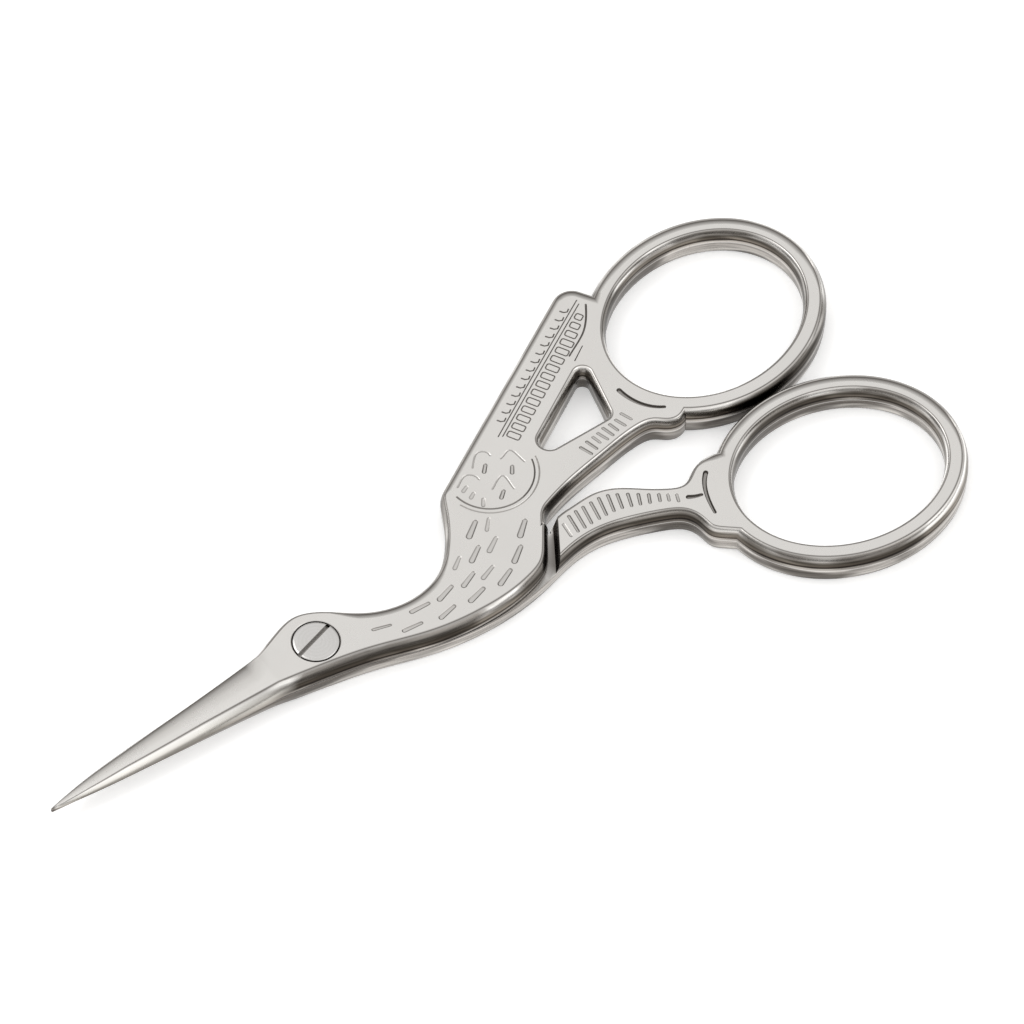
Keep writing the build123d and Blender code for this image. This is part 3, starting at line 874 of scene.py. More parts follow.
def forge(name, kind, stations, sizes):
    """Builds the closed mesh of one half."""
    shell = Shell()
    plan = stork_plan(sizes) if kind == "stork" else leg_plan(sizes)
    table = blade_table(stations, sizes)
    shared, layers = build_layers(shell, plan, table, sizes, kind)
    (upper_first, upper_last, upper_holes), (lower_first, lower_last, lower_holes) = layers
    if kind == "stork":
        lap = np.concatenate([upper_first[shared:], upper_first[:1], lower_first[:shared:-1]])
        top, floor = sizes["plate_thickness"], sizes["plate_thickness"] - sizes["head_seat_depth"]
        seat = sizes["screw_head_diameter"] / 2 + sizes["head_clearance"]
        shank = sizes["screw_shank_diameter"] / 2 + sizes["shank_clearance"]
        width, depth = SEAT_CHAMFER
        # The third number of each circle is the painted shade on the walls of the head's seat and
        # of the shank's hole
        rings = circle_rings(shell, [(seat + width, top, 0.0), (seat, top - depth, 0.5),
                                     (seat, floor, 1.0), (shank, floor, 1.0),
                                     (shank, sizes["upper_floor"], 1.0)])
        lap_hole, top_rims, bottom_rims = rings[-1], [rings[0]], []
    else:
        lap = np.concatenate([lower_first[shared:], lower_first[:1], upper_first[:shared:-1]])
        hole = sizes["screw_shank_diameter"] / 2 + sizes["thread_clearance"]
        width, depth = HOLE_CHAMFER
        # The third number of each circle is the painted shade on the walls of the hole
        rings = circle_rings(shell, [(hole, sizes["lower_top"], 1.0), (hole, depth, 1.0),
                                     (hole + width, 0.0, 0.0)])
        lap_hole, top_rims, bottom_rims = rings[0], [], [rings[-1]]
    shell.cap(lap, [lap_hole])
    body = wing_marks() + shoulder_marks() + leg_marks(FRONT_LEG_BARS, [FRONT_CLAW])
    leg = leg_marks(REAR_LEG_BARS, [REAR_CLAW, REAR_CLAW_SPUR])
    neck = feather_marks()
    top_marks, bottom_marks = {"stork": (body + neck, body), "leg": (leg, leg + neck)}[kind]
    for marks, ring, rims, face, rise in (
            (top_marks, upper_last, upper_holes + top_rims, sizes["plate_thickness"], 1),
            (bottom_marks, lower_last, lower_holes + bottom_rims, 0.0, -1)):
        boundaries = [loop_of(shell, rim) for rim in [ring] + rims]
        shell.cap(ring, rims + decorate(shell, marks, boundaries, face, rise))
    return shell.mesh(name)


# Materials: the forgings' and the screw's looks are node groups that give colour, roughness
# and height from a point's place and from the marks set on it, painted shade among them. The
# tones are those of their colour ramps: of the walls, their own duller tone with painted
# reflections and painted shade in bands by height, and of a blade's sides from the reverse up to
# the face, in painted bands of reflection and shade by height; of a blade's face darkening towards
# its high edge as painted shade; and of the streaks and patches on the walls.
WHITE = (1.0, 1.0, 1.0)
WALL_TONES_AND_PAINTED_REFLECTIONS = [(0.0, (0.10, 0.092, 0.085)), (0.05, (0.27, 0.255, 0.24)), (0.16, (0.48, 0.46, 0.435)),
              (0.34, (0.33, 0.31, 0.29)), (0.52, (0.46, 0.435, 0.41)), (0.61, (0.30, 0.275, 0.25)),
              (0.64, (0.03, 0.025, 0.02)), (0.675, (0.045, 0.038, 0.03)),
              (0.71, (0.20, 0.175, 0.15)), (0.79, (0.11, 0.10, 0.085)), (0.85, (0.32, 0.30, 0.28)),
              (0.93, (0.76, 0.75, 0.73)), (1.0, (0.60, 0.58, 0.56))]
BLADE_SIDE_PAINTED_REFLECTIONS = [(0.0, (0.3, 0.28, 0.26)), (0.5, (0.16, 0.14, 0.12)), (0.62, (0.40, 0.375, 0.34)),
               (0.78, (0.66, 0.64, 0.60)), (0.92, (0.76, 0.745, 0.72)), (1.0, (0.68, 0.66, 0.64))]
HIGH_EDGE_PAINTED_SHADE_TONES = [(0.0, WHITE), (0.25, (0.98, 0.98, 0.98)), (0.6, (0.82, 0.815, 0.81)),
              (0.85, (0.55, 0.545, 0.54)), (1.0, (0.2, 0.19, 0.18))]
STREAK_TONES = [(0.32, (0.4, 0.39, 0.38)), (0.62, (1.25, 1.25, 1.25))]
PATCH_TONES = [(0.44, (0.20, 0.18, 0.16)), (0.50, (0.62, 0.61, 0.60)), (0.55, (1.3, 1.3, 1.3))]
FORGING_CLOUD, SCREW_CLOUD = (0.50, 0.48, 0.455, 1.0), (0.5, 0.485, 0.465, 1.0)
# Grains of the finish: how often they repeat along each axis in a metre, and their detail
CLOUD_GRAIN, SPECK_GRAIN = ((160, 160, 160), 4.0), ((1500, 1500, 1500), 2.0)
STREAK_GRAIN, PATCH_GRAIN = ((170, 170, 3400), 3.0), ((110, 110, 520), 2.0)
SCREW_GRAIN = ((420, 420, 420), 3.0)
# The rings that turning left on the screw's head
TURNING = {"Scale": 900.0, "Distortion": 1.5, "Detail": 2.0, "Detail Scale": 2.0}
# How much the clouds tint a face, the streaks shift the tones of a wall, the streaks and patches
# shade it, the painted dark line along a face's edge darkens it, and the screw's rings and the
# painted shade in its slot do
CLOUD_TINT, STREAK_SHIFT, STREAK_SHADE, PATCH_SHADE, EDGE_LINE_PAINTED_SHADE = 0.3, 0.10, 0.7, 0.82, 0.95
RING_TINT, SLOT_PAINTED_SHADE = 0.16, 0.55
# Roughness of the forgings, with what their clouds and specks add, and of the screw, with its
# clouds'
FORGING_ROUGH, CLOUD_ROUGH, SPECK_ROUGH = 0.17, 0.14, 0.06
SCREW_ROUGH, SCREW_CLOUD_ROUGH = 0.2, 0.15
# Strength and, in metres, depth of the relief
RELIEF_STRENGTH, RELIEF_DEPTH = 0.1, 0.00002
# How far the saw that cuts the slot reaches, in widths of the screw's head
SAW_REACH = 1.3
# Heights in metres between which the painted shade in the screw's slot fades
SLOT_SHADE_LOW, SLOT_SHADE_HIGH = 0.0026, 0.00298
# Tones of the room by height, and of the white at and below the horizon
ROOM_TONES = [(0.0, (0.10, 0.095, 0.09)), (0.10, (0.13, 0.125, 0.12)), (0.22, (0.42, 0.41, 0.40)),
              (0.36, (0.72, 0.71, 0.70)), (0.55, (0.98, 0.975, 0.965)), (1.0, (1.0, 0.995, 0.985))]
HORIZON_TONES = [(0.0, WHITE), (0.035, WHITE), (0.05, (0.0, 0.0, 0.0))]
# Patches on the room's walls: how often they repeat, and how far they shift the tones
ROOM_PATCHES, ROOM_SHIFT = 2.6, 0.35
# Stage, in metres: half the floor's side, how far it lies below the scissors, its roughness, the
# lights with their place, size and power, what they point at, and the camera's place, target,
# lens and range
FLOOR_REACH, FLOOR_DROP, FLOOR_ROUGH = 2.2, 0.02 * MM, 0.9
LIGHTS = [("Key", (-0.25, 0.45, 0.7), 0.5, 1.5), ("Fill", (0.4, -0.5, 0.6), 0.6, 0.8)]
LIT_PLACE = (0.023, 0.003, 0.0)
CAMERA_PLACE, CAMERA_TARGET = (-0.4664, -0.7041, 1.2289), (0.02336, 0.00322, 0.0002)
CAMERA_LENS, CAMERA_SENSOR = 590.6, 36.0
CAMERA_NEAR, CAMERA_FAR = 0.05, 10.0


def add_node(tree, kind, **settings):
    """Adds a node, with its settings and, by number or name, its inputs."""
    node = tree.nodes.new(kind)
    inputs = settings.pop("inputs", {})
    for key, value in settings.items():
        setattr(node, key, value)
    for key, value in inputs.items():
        if isinstance(value, bpy.types.NodeSocket):
            tree.links.new(value, node.inputs[key])
        else:
            node.inputs[key].default_value = value
    return node


def mark_value(tree, name):
    """The value of one of the forging's marks."""
    return add_node(tree, "ShaderNodeAttribute", attribute_name=name).outputs["Fac"]


def maths(tree, operation, one, other=0.0):
    """A sum on two values."""
    return add_node(tree, "ShaderNodeMath", operation=operation,
                    inputs={0: one, 1: other}).outputs[0]


def mixed(tree, factor, one, other, blend="MIX"):
    """A mix of two colours."""
    node = add_node(tree, "ShaderNodeMix", data_type="RGBA", blend_type=blend,
                    inputs={0: factor, 6: one, 7: other})
    return node.outputs[2]


def weighed(tree, one, weight, other=0.0):
    """A value times a weight, plus another value."""
    return add_node(tree, "ShaderNodeMath", operation="MULTIPLY_ADD",
                    inputs={0: one, 1: weight, 2: other}).outputs[0]


def grain(tree, stretch, detail):
    """Noise over the object, stretched along its axes."""
    place = add_node(tree, "ShaderNodeTexCoord").outputs["Object"]
    place = add_node(tree, "ShaderNodeMapping", inputs={0: place, 3: stretch}).outputs[0]
    return add_node(tree, "ShaderNodeTexNoise",
                    inputs={"Vector": place, "Scale": 1.0, "Detail": detail}).outputs["Fac"]


def ramp(tree, value, stops):
    """A colour ramp through stops of place and colour."""
    node = add_node(tree, "ShaderNodeValToRGB", inputs={0: value})
    elements = node.color_ramp.elements
    while len(elements) < len(stops):
        elements.new(1.0)
    for element, (place, tone) in zip(elements, stops):
        element.position = place
        element.color = (*tone, 1.0)
    return node.outputs["Color"]


def new_look(name):
    """An empty look, and the two colours that it is given."""
    tree = bpy.data.node_groups.new(name, "ShaderNodeTree")
    for socket in ("Flat Colour", "Line Colour"):
        tree.interface.new_socket(socket, in_out="INPUT", socket_type="NodeSocketColor")
    for socket, kind in (("Colour", "NodeSocketColor"), ("Roughness", "NodeSocketFloat"),
                         ("Height", "NodeSocketFloat")):
        tree.interface.new_socket(socket, in_out="OUTPUT", socket_type=kind)
    return tree, *tree.nodes.new("NodeGroupInput").outputs[:2]


def give(tree, *values):
    """Leads values to a group's outputs, and returns the group."""
    leaving = tree.nodes.new("NodeGroupOutput")
    for value, socket in zip(values, leaving.inputs):
        tree.links.new(value, socket)
    return tree


def forging_look(name="Struck and plated forging"):
    """The node group with the finish of the two forgings, their painted shade and their painted
    reflections.
    """
    tree, flat_colour, painted_shade_colour = new_look(name)
    side, level, edge, groove, high, blade = (mark_value(tree, mark) for mark in Shell.MARKS)
    cloud, speck = grain(tree, *CLOUD_GRAIN), grain(tree, *SPECK_GRAIN)
    streak, patch = grain(tree, *STREAK_GRAIN), grain(tree, *PATCH_GRAIN)
    flat = mixed(tree, weighed(tree, cloud, CLOUD_TINT), flat_colour, FORGING_CLOUD)
    # A blade's face darkens towards its high edge: painted shade
    flat = mixed(tree, 1.0, flat, ramp(tree, high, HIGH_EDGE_PAINTED_SHADE_TONES), "MULTIPLY")
    # The walls' own duller tone, with painted reflections and painted shade in bands by height,
    # shifted by the streaks
    wave = weighed(tree, maths(tree, "SUBTRACT", streak, 0.5), STREAK_SHIFT,
                   weighed(tree, level, 0.5, 0.5))
    wall = ramp(tree, wave, WALL_TONES_AND_PAINTED_REFLECTIONS)
    wall = mixed(tree, STREAK_SHADE, wall, ramp(tree, streak, STREAK_TONES), "MULTIPLY")
    wall = mixed(tree, PATCH_SHADE, wall, ramp(tree, patch, PATCH_TONES), "MULTIPLY")
    # A blade's sides take painted bands of reflection and shade by height
    wall = mixed(tree, blade, wall, ramp(tree, wave, BLADE_SIDE_PAINTED_REFLECTIONS))
    # Painted shade: the dark line along each face's edge and the shade in recesses, mixed towards
    # the shade colour
    lines = maths(tree, "MINIMUM", weighed(tree, edge, EDGE_LINE_PAINTED_SHADE, groove), 1.0)
    whole = mixed(tree, lines, mixed(tree, side, flat, wall), painted_shade_colour)
    rough = weighed(tree, cloud, CLOUD_ROUGH, weighed(tree, speck, SPECK_ROUGH, FORGING_ROUGH))
    return give(tree, whole, rough, cloud)


def metal(name, look, flat, line):
    """A material whose colour, roughness and height come from a look."""
    material = bpy.data.materials.new(name)
    material.use_nodes = True
    tree = material.node_tree
    shader = tree.nodes["Principled BSDF"]
    shader.inputs["Metallic"].default_value = 1.0
    # flat is the face's colour and line the colour of the painted shade
    group = add_node(tree, "ShaderNodeGroup", node_tree=look,
                     inputs={0: (*flat, 1.0), 1: (*line, 1.0)})
    tree.links.new(group.outputs[0], shader.inputs["Base Color"])
    tree.links.new(group.outputs[1], shader.inputs["Roughness"])
    bump = add_node(tree, "ShaderNodeBump", inputs={
        "Strength": RELIEF_STRENGTH, "Distance": RELIEF_DEPTH, "Height": group.outputs[2]})
    tree.links.new(bump.outputs[0], shader.inputs["Normal"])
    return material


def screw_look(name="Turned screw head"):
    """The node group with the finish of the screw: rings left by turning, and painted shade in the
    slot.
    """
    tree, flat_colour, painted_shade_colour = new_look(name)
    place = add_node(tree, "ShaderNodeTexCoord").outputs["Object"]
    flat_place = add_node(tree, "ShaderNodeMapping", inputs={0: place, 3: (1, 1, 0)}).outputs[0]
    rings = add_node(tree, "ShaderNodeTexWave", wave_type="RINGS", rings_direction="SPHERICAL",
                     inputs={"Vector": flat_place, **TURNING}).outputs["Fac"]
    cloud = grain(tree, *SCREW_GRAIN)
    height = add_node(tree, "ShaderNodeSeparateXYZ", inputs={0: place}).outputs["Z"]
    # Painted shade in the slot, darkest at its floor and fading out towards the head's top
    depth = add_node(tree, "ShaderNodeMapRange", inputs={
        0: height, 1: SLOT_SHADE_LOW, 2: SLOT_SHADE_HIGH, 3: 1.0, 4: 0.0}).outputs[0]
    shade = weighed(tree, rings, RING_TINT, weighed(tree, cloud, CLOUD_TINT))
    whole = mixed(tree, shade, flat_colour, SCREW_CLOUD)
    whole = mixed(tree, weighed(tree, depth, SLOT_PAINTED_SHADE), whole, painted_shade_colour)
    return give(tree, whole, weighed(tree, cloud, SCREW_CLOUD_ROUGH, SCREW_ROUGH), rings)


def screw_tree(name="Slotted screw"):
    """Geometry nodes that turn a profile round the screw's axis and saw the slot."""
    tree = bpy.data.node_groups.new(name, "GeometryNodeTree")
    sockets = {}
    tree.interface.new_socket("Geometry", in_out="OUTPUT", socket_type="NodeSocketGeometry")
    for socket, kind, value in (("Geometry", "NodeSocketGeometry", None),
                                ("Facets", "NodeSocketInt", 96),
                                ("Slot Width", "NodeSocketFloat", 0.4 * MM),
                                ("Slot Depth", "NodeSocketFloat", 0.5 * MM),
                                ("Slot Turn", "NodeSocketFloat", 0.3),
                                ("Slot Offset", "NodeSocketFloat", 0.2 * MM),
                                ("Top", "NodeSocketFloat", 3 * MM),
                                ("Head Width", "NodeSocketFloat", 4.2 * MM),
                                ("Finish", "NodeSocketMaterial", None)):
        item = tree.interface.new_socket(socket, in_out="INPUT", socket_type=kind)
        if value is not None:
            item.default_value = value
        sockets[socket] = item.identifier
    given = tree.nodes.new("NodeGroupInput").outputs
    count = add_node(tree, "GeometryNodeAttributeDomainSize", inputs={0: given["Geometry"]})
    grid = add_node(tree, "GeometryNodeMeshGrid",
                    inputs={"Vertices X": count.outputs[0], "Vertices Y": given["Facets"]})
    index = add_node(tree, "GeometryNodeInputIndex").outputs[0]
    row = maths(tree, "FLOOR", maths(tree, "DIVIDE", index, given["Facets"]))
    column = maths(tree, "MODULO", index, given["Facets"])
    position = add_node(tree, "GeometryNodeInputPosition").outputs[0]
    profile = add_node(tree, "GeometryNodeSampleIndex", data_type="FLOAT_VECTOR", domain="POINT",
                       inputs={0: given["Geometry"], 1: position, 2: row}).outputs[0]
    parts = add_node(tree, "ShaderNodeSeparateXYZ", inputs={0: profile}).outputs
    turns = maths(tree, "DIVIDE", column, maths(tree, "SUBTRACT", given["Facets"], 1.0))
    angle = maths(tree, "MULTIPLY", turns, 2 * math.pi)
    place = add_node(tree, "ShaderNodeCombineXYZ",
                     inputs={0: maths(tree, "MULTIPLY", parts[0], maths(tree, "COSINE", angle)),
                             1: maths(tree, "MULTIPLY", parts[0], maths(tree, "SINE", angle)),
                             2: parts[2]}).outputs[0]
    turned = add_node(tree, "GeometryNodeSetPosition",
                      inputs={"Geometry": grid.outputs[0], "Position": place}).outputs[0]
    turned = add_node(tree, "GeometryNodeMergeByDistance",
                      inputs={"Geometry": turned, "Distance": SCREW_WELD}).outputs[0]
    deep = maths(tree, "MULTIPLY", given["Slot Depth"], 2.0)
    size = add_node(tree, "ShaderNodeCombineXYZ",
                    inputs={0: maths(tree, "MULTIPLY", given["Head Width"], SAW_REACH),
                            1: given["Slot Width"], 2: deep}).outputs[0]
    cutter = add_node(tree, "GeometryNodeMeshCube", inputs={0: size}).outputs[0]
    aside = add_node(tree, "ShaderNodeCombineXYZ",
                     inputs={0: maths(tree, "MULTIPLY", maths(tree, "SINE", given["Slot Turn"]),
                                      maths(tree, "MULTIPLY", given["Slot Offset"], -1.0)),
                             1: maths(tree, "MULTIPLY", maths(tree, "COSINE", given["Slot Turn"]),
                                      given["Slot Offset"]),
                             2: given["Top"]}).outputs[0]
    turn = add_node(tree, "ShaderNodeCombineXYZ", inputs={2: given["Slot Turn"]}).outputs[0]
    cutter = add_node(tree, "GeometryNodeTransform", inputs={
        "Geometry": cutter, "Translation": aside, "Rotation": turn}).outputs[0]
    sawn = add_node(tree, "GeometryNodeMeshBoolean", operation="DIFFERENCE", solver="EXACT",
                    inputs={0: turned, 1: cutter}).outputs[0]
    real = add_node(tree, "GeometryNodeRealizeInstances", inputs={0: sawn}).outputs[0]
    finished = add_node(tree, "GeometryNodeSetMaterial",
                        inputs={"Geometry": real, "Material": given["Finish"]}).outputs[0]
    leaving = tree.nodes.new("NodeGroupOutput")
    tree.links.new(finished, leaving.inputs[0])
    return tree, sockets


def screw_profile(sizes):
    """The screw's outline, from the axis at its end up to the axis at the top of its head."""
    shank, head = sizes["screw_shank_diameter"] / 2, sizes["screw_head_diameter"] / 2
    neck = sizes["plate_thickness"] - sizes["head_seat_depth"]
    top = neck + sizes["screw_head_height"]
    points = [(0.0, 0.0), (shank - SCREW_CHAMFER, 0.0), (shank, SCREW_CHAMFER)]
    for start in np.arange(THREAD_START, sizes["lower_top"] - THREAD_END, THREAD_PITCH):
        points += [(shank, start),
                   (shank - THREAD_DEPTH, start + THREAD_ROOT_SHARE * THREAD_PITCH),
                   (shank, start + THREAD_CREST_SHARE * THREAD_PITCH)]
    points += [(shank, neck), (head, neck)]
    points += [(head - inward, top - down) for inward, down in HEAD_ROUNDING]
    return points + [(head / 2, top), (0.0, top)]


def plain_mesh(piece):
    """Replaces a piece's modifiers by the mesh that they give."""
    shown = piece.evaluated_get(bpy.context.evaluated_depsgraph_get())
    mesh = bpy.data.meshes.new_from_object(shown)
    piece.modifiers.clear()
    piece.data = mesh
    return piece


def put(name, mesh):
    """Adds an object to the scene."""
    piece = bpy.data.objects.new(name, mesh)
    bpy.context.scene.collection.objects.link(piece)
    return piece


def aimed(piece, place, target):
    """Moves a light or a camera to a place and points it at a target."""
    piece.location = place
    piece.rotation_euler = (Vector(target) - Vector(place)).to_track_quat("-Z", "Y").to_euler()
    return piece


def length(name, description, value):
    """A length property, given in millimetres."""
    return FloatProperty(name=name, description=description, default=value * MM, min=0.0,
                         unit="LENGTH", subtype="DISTANCE", precision=5)


def colour(name, description, value):
    """A colour property."""
    return FloatVectorProperty(name=name, description=description, default=value, size=3,
                               min=0.0, max=1.0, subtype="COLOR")


class ScissorsSizes(bpy.types.PropertyGroup):
    """Sizes of the scissors."""

    plate_thickness: length("Thickness", "Thickness of the closed pair", 3.0)
    lap_gap: length("Lap gap", "Gap between the two layers at the pivot", 0.06)
    seam_gap: length("Seam gap", "Gap between the two halves at the seam", 0.15)
    side_lean: length("Side lean", "How far a side leans in towards the upper face", 0.45)
    lower_lean: length("Lower lean", "How far a side leans in towards the reverse", 0.2)
    lap_round: length("Lap rounding", "Rounding of the layers' edges where they meet", 0.05)
    far_roll: length("Edge roll", "Width of the rolled edge along the back and the rings", 0.42)
    far_drop: length("Edge roll drop", "How far the rolled edge drops", 0.12)
    leg_end_flare: length("Leg end flare", "Hollow at the end of the leg, above the lap", 0.42)
    blade_reach: length("Blade reach", "From the pivot to the tip", 28.8)
    blade_width: length("Blade width", "Width of the beak at its root", 4.6)
    tip_height: length("Tip height", "Thickness of one blade at its tip", 0.25)
    ring_reach: length("Ring reach", "From the pivot to the middle of the upper ring", 48.9)
    rear_ring_advance: length("Ring advance", "How much farther the lower ring reaches", 0.25)
    ring_gap: length("Ring gap", "Gap between the closed rings", 0.3)
    ring_bore_length: length("Bore length", "Length of a finger hole", 19.4)
    ring_bore_width: length("Bore width", "Width of a finger hole", 16.0)
    ring_bar: length("Ring bar", "Width of the bar of a ring", 2.1)
    ring_tilt: FloatProperty(name="Ring tilt", description="Tilt of a ring's long axis",
                             default=math.radians(10.5), unit="ROTATION", subtype="ANGLE")
    closing_line_drop: length("Closing line", "From the pivot down to where the rings meet", 0.6)
    window_corner: length("Window corner", "Rounding of the window's corners", 0.55)
    shoulder_run: length("Shoulder run", "Straight run from the neck to the shoulder", 1.7)
    shoulder_round: length("Shoulder radius", "Radius of the shoulder", 2.5)
    tail_round: length("Tail radius", "Radius of the tail's tip", 2.0)
    screw_head_diameter: length("Screw head", "Diameter of the screw's head", 4.2)
    screw_head_height: length("Head height", "Height of the screw's head", 0.9)
    head_seat_depth: length("Seat depth", "Depth of the seat of the screw's head", 0.85)
    head_clearance: length("Head clearance", "Clearance round the head", 0.1)
    screw_shank_diameter: length("Screw shank", "Diameter of the screw's shank", 2.4)
    shank_clearance: length("Shank clearance", "Clearance round the shank", 0.04)
    thread_clearance: length("Thread clearance", "Clearance round the thread", 0.01)
    slot_width: length("Slot width", "Width of the screw's slot", 0.4)
    slot_depth: length("Slot depth", "Depth of the screw's slot", 0.5)
    slot_offset: length("Slot offset", "How far the slot runs beside the axis", 0.2)
    slot_turn: FloatProperty(name="Slot turn", description="Direction of the screw's slot",
                             default=math.radians(17), unit="ROTATION", subtype="ANGLE")
    step: length("Outline step", "Spacing of the points along the outlines", 0.2)
    screw_facets: IntProperty(name="Screw facets", description="Points round the screw",
                              default=97, min=13)


class ScissorsColours(bpy.types.PropertyGroup):
    """Colours of the scissors and of the stage."""

    plating: colour("Plating", "Colour of the plated faces", (0.715, 0.70, 0.68))
    # The colour of the painted shade in struck marks, seats and holes, at the lap's foot, on a
    # blade's tip, along faces' edges and in the screw's slot
    shade: colour("Shade", "Colour of the lines and grooves", (0.10, 0.088, 0.078))
    screw: colour("Screw", "Colour of the screw's head", (0.63, 0.62, 0.61))
    floor: colour("Floor", "Colour of the stage's floor", (0.92, 0.92, 0.92))
    floor_glow: FloatProperty(name="Floor glow", description="How much whiter the floor looks",
                              default=0.3, min=0.0)


def studio_world():
    """A pale room: bright ceiling, dark walls with patches, and white at the horizon and below."""
    world = bpy.data.worlds.new("Studio")
    world.use_nodes = True
    tree = world.node_tree
    way = add_node(tree, "ShaderNodeTexCoord").outputs["Generated"]
    height = add_node(tree, "ShaderNodeSeparateXYZ", inputs={0: way}).outputs["Z"]
    patches = add_node(tree, "ShaderNodeTexNoise",
                       inputs={"Vector": way, "Scale": ROOM_PATCHES, "Detail": 1.0}).outputs["Fac"]
    shifted = weighed(tree, maths(tree, "SUBTRACT", patches, 0.5), ROOM_SHIFT, height)
    sky = mixed(tree, ramp(tree, height, HORIZON_TONES), ramp(tree, shifted, ROOM_TONES),
                (*WHITE, 1.0))
    tree.links.new(sky, tree.nodes["Background"].inputs["Color"])
    return world


def build_half(context, name, kind, stations, node, body):
    """Builds one half, gives it its finish and puts it in the place of its CAD node."""
    sizes = mm_sizes(context.scene.scissors_sizes)
    colours = context.scene.scissors_colours
    look = bpy.data.node_groups.get("Struck and plated forging") or forging_look()
    material = bpy.data.materials.get("Plated forging") or metal(
        "Plated forging", look, tuple(colours.plating), tuple(colours.shade))
    piece = put(name, forge(name, kind, stations, sizes))
    piece.data.materials.append(material)
    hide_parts(node)
    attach(piece, body)


class SCISSORS_OT_stork_half(bpy.types.Operator):
    """Build the stork half: beak, head, neck, body, wing, front leg and upper ring"""

    bl_idname = "scissors.stork_half"
    bl_label = "Stork half"

    def execute(self, context):
        build_half(context, "stork_half_forging", "stork", FRONT_BLADE_SHARES, "stork_half",
                   "stork_side")
        return {"FINISHED"}


class SCISSORS_OT_leg_half(bpy.types.Operator):
    """Build the leg half: lower blade, lower neck, rear leg and lower ring"""

    bl_idname = "scissors.leg_half"
    bl_label = "Leg half"

    def execute(self, context):
        build_half(context, "leg_half_forging", "leg", REAR_BLADE_SHARES, "leg_half", "leg_side")
        return {"FINISHED"}


class SCISSORS_OT_pivot_screw(bpy.types.Operator):
    """Build the slotted pivot screw"""

    bl_idname = "scissors.pivot_screw"
    bl_label = "Pivot screw"

    def execute(self, context):
        settings = context.scene.scissors_sizes
        sizes = mm_sizes(settings)
        colours = context.scene.scissors_colours
        material = metal("Turned screw", screw_look(), tuple(colours.screw), tuple(colours.shade))
        profile = bpy.data.meshes.new("pivot_screw_turned")
        points = [(r * MM, 0.0, z * MM) for r, z in screw_profile(sizes)]
        profile.from_pydata(points, [(i, i + 1) for i in range(len(points) - 1)], [])
        piece = put("pivot_screw_turned", profile)
        tree, sockets = screw_tree()
        modifier = piece.modifiers.new("Slotted screw", "NODES")
        modifier.node_group = tree
        top = settings.plate_thickness + settings.screw_head_height - settings.head_seat_depth
        for socket, value in (
                ("Facets", settings.screw_facets), ("Slot Width", settings.slot_width),
                ("Slot Depth", settings.slot_depth), ("Slot Turn", settings.slot_turn),
                ("Slot Offset", settings.slot_offset), ("Top", top),
                ("Head Width", settings.screw_head_diameter), ("Finish", material)):
            modifier[sockets[socket]] = value
        plain_mesh(piece)
        piece.data.shade_smooth()
        piece.data.set_sharp_from_angle(angle=SCREW_SHARP)
        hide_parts("pivot_screw")
        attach(piece, "leg_side")
        return {"FINISHED"}


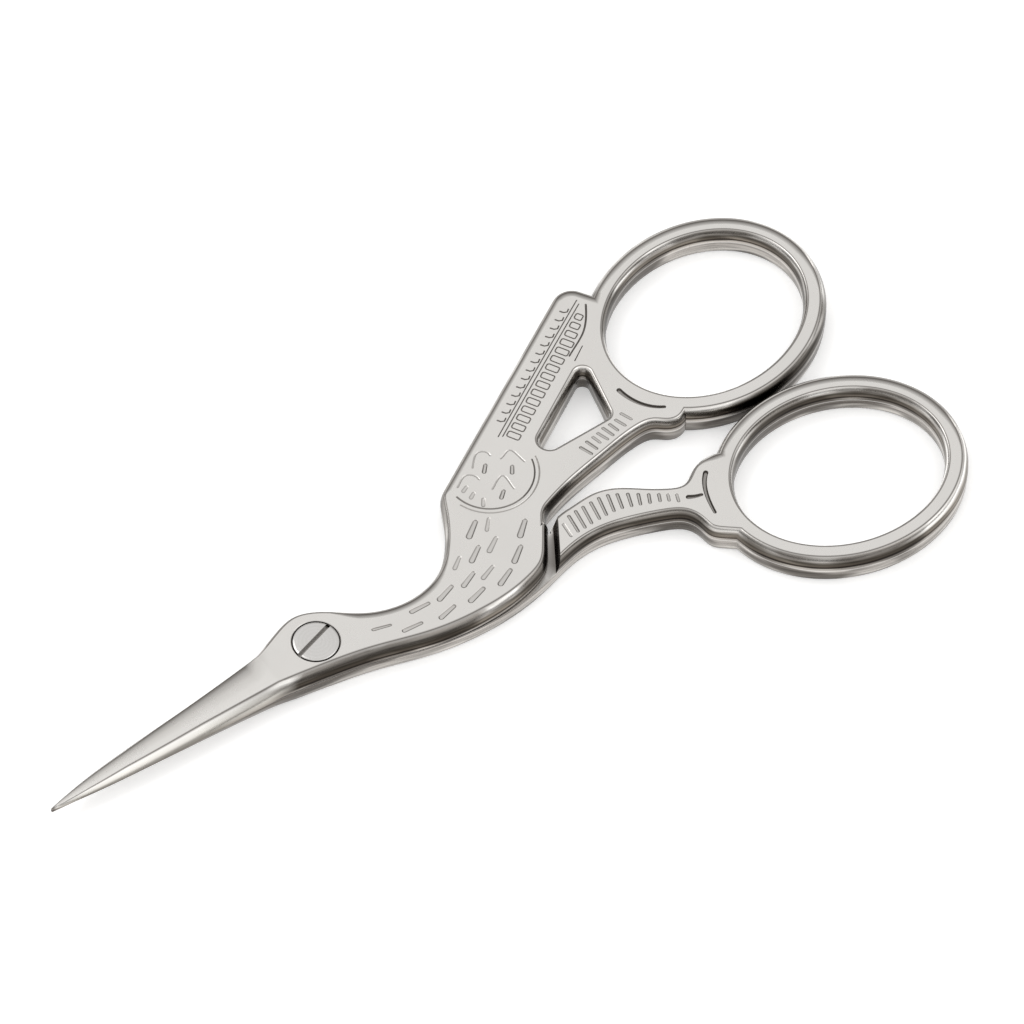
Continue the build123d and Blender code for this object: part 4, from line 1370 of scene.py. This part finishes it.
class SCISSORS_OT_stage(bpy.types.Operator):
    """Build the pale floor, the soft light and the camera"""

    bl_idname = "scissors.stage"
    bl_label = "Stage"

    def execute(self, context):
        scene = context.scene
        colours = scene.scissors_colours
        floor = bpy.data.meshes.new("floor")
        floor.from_pydata([(x * FLOOR_REACH, y * FLOOR_REACH, -FLOOR_DROP)
                           for x, y in ((-1, -1), (1, -1), (1, 1), (-1, 1))], [], [(0, 1, 2, 3)])
        plain = bpy.data.materials.new("Floor")
        plain.use_nodes = True
        tree = plain.node_tree
        shader = tree.nodes["Principled BSDF"]
        for socket, value in (("Base Color", (*colours.floor, 1.0)), ("Roughness", FLOOR_ROUGH),
                              ("Specular IOR Level", 0.0), ("Emission Color", (*WHITE, 1.0))):
            shader.inputs[socket].default_value = value
        path = tree.nodes.new("ShaderNodeLightPath").outputs
        seen = maths(tree, "ADD", path["Is Camera Ray"],
                     maths(tree, "ADD", path["Is Glossy Ray"], path["Is Transmission Ray"]))
        tree.links.new(weighed(tree, seen, colours.floor_glow), shader.inputs["Emission Strength"])
        floor.materials.append(plain)
        put("floor", floor)
        scene.world = studio_world()
        for name, place, size, power in LIGHTS:
            light = bpy.data.lights.new(name, "AREA")
            light.size, light.energy = size, power
            aimed(put(name, light), place, LIT_PLACE)
        camera = bpy.data.cameras.new("Camera")
        camera.lens, camera.sensor_width = CAMERA_LENS, CAMERA_SENSOR
        camera.clip_start, camera.clip_end = CAMERA_NEAR, CAMERA_FAR
        view = aimed(put("Camera", camera), CAMERA_PLACE, CAMERA_TARGET)
        scene.camera = view
        scene.view_settings.view_transform = "Standard"
        return {"FINISHED"}


class SCISSORS_PT_panel(bpy.types.Panel):
    """Sizes, colours and builders of the scissors"""

    bl_label = "Stork embroidery scissors"
    bl_idname = "SCISSORS_PT_panel"
    bl_space_type = "VIEW_3D"
    bl_region_type = "UI"
    bl_category = "Scissors"

    def draw(self, context):
        for settings in (context.scene.scissors_sizes, context.scene.scissors_colours):
            for name in settings.__annotations__:
                self.layout.prop(settings, name)
        for operator in OPERATORS:
            self.layout.operator(operator.bl_idname)


OPERATORS = (SCISSORS_OT_stork_half, SCISSORS_OT_leg_half, SCISSORS_OT_pivot_screw,
             SCISSORS_OT_stage)
CLASSES = (ScissorsSizes, ScissorsColours) + OPERATORS + (SCISSORS_PT_panel,)


def register():
    """Registers the classes and the scene's settings."""
    for cls in CLASSES:
        bpy.utils.register_class(cls)
    bpy.types.Scene.scissors_sizes = PointerProperty(type=ScissorsSizes)
    bpy.types.Scene.scissors_colours = PointerProperty(type=ScissorsColours)


def unregister():
    """Takes them away again."""
    del bpy.types.Scene.scissors_colours
    del bpy.types.Scene.scissors_sizes
    for cls in reversed(CLASSES):
        bpy.utils.unregister_class(cls)


def main():
    """Builds everything."""
    register()
    bpy.ops.scissors.stork_half()
    bpy.ops.scissors.leg_half()
    bpy.ops.scissors.pivot_screw()
    bpy.ops.scissors.stage()


if __name__ == "__main__":
    main()
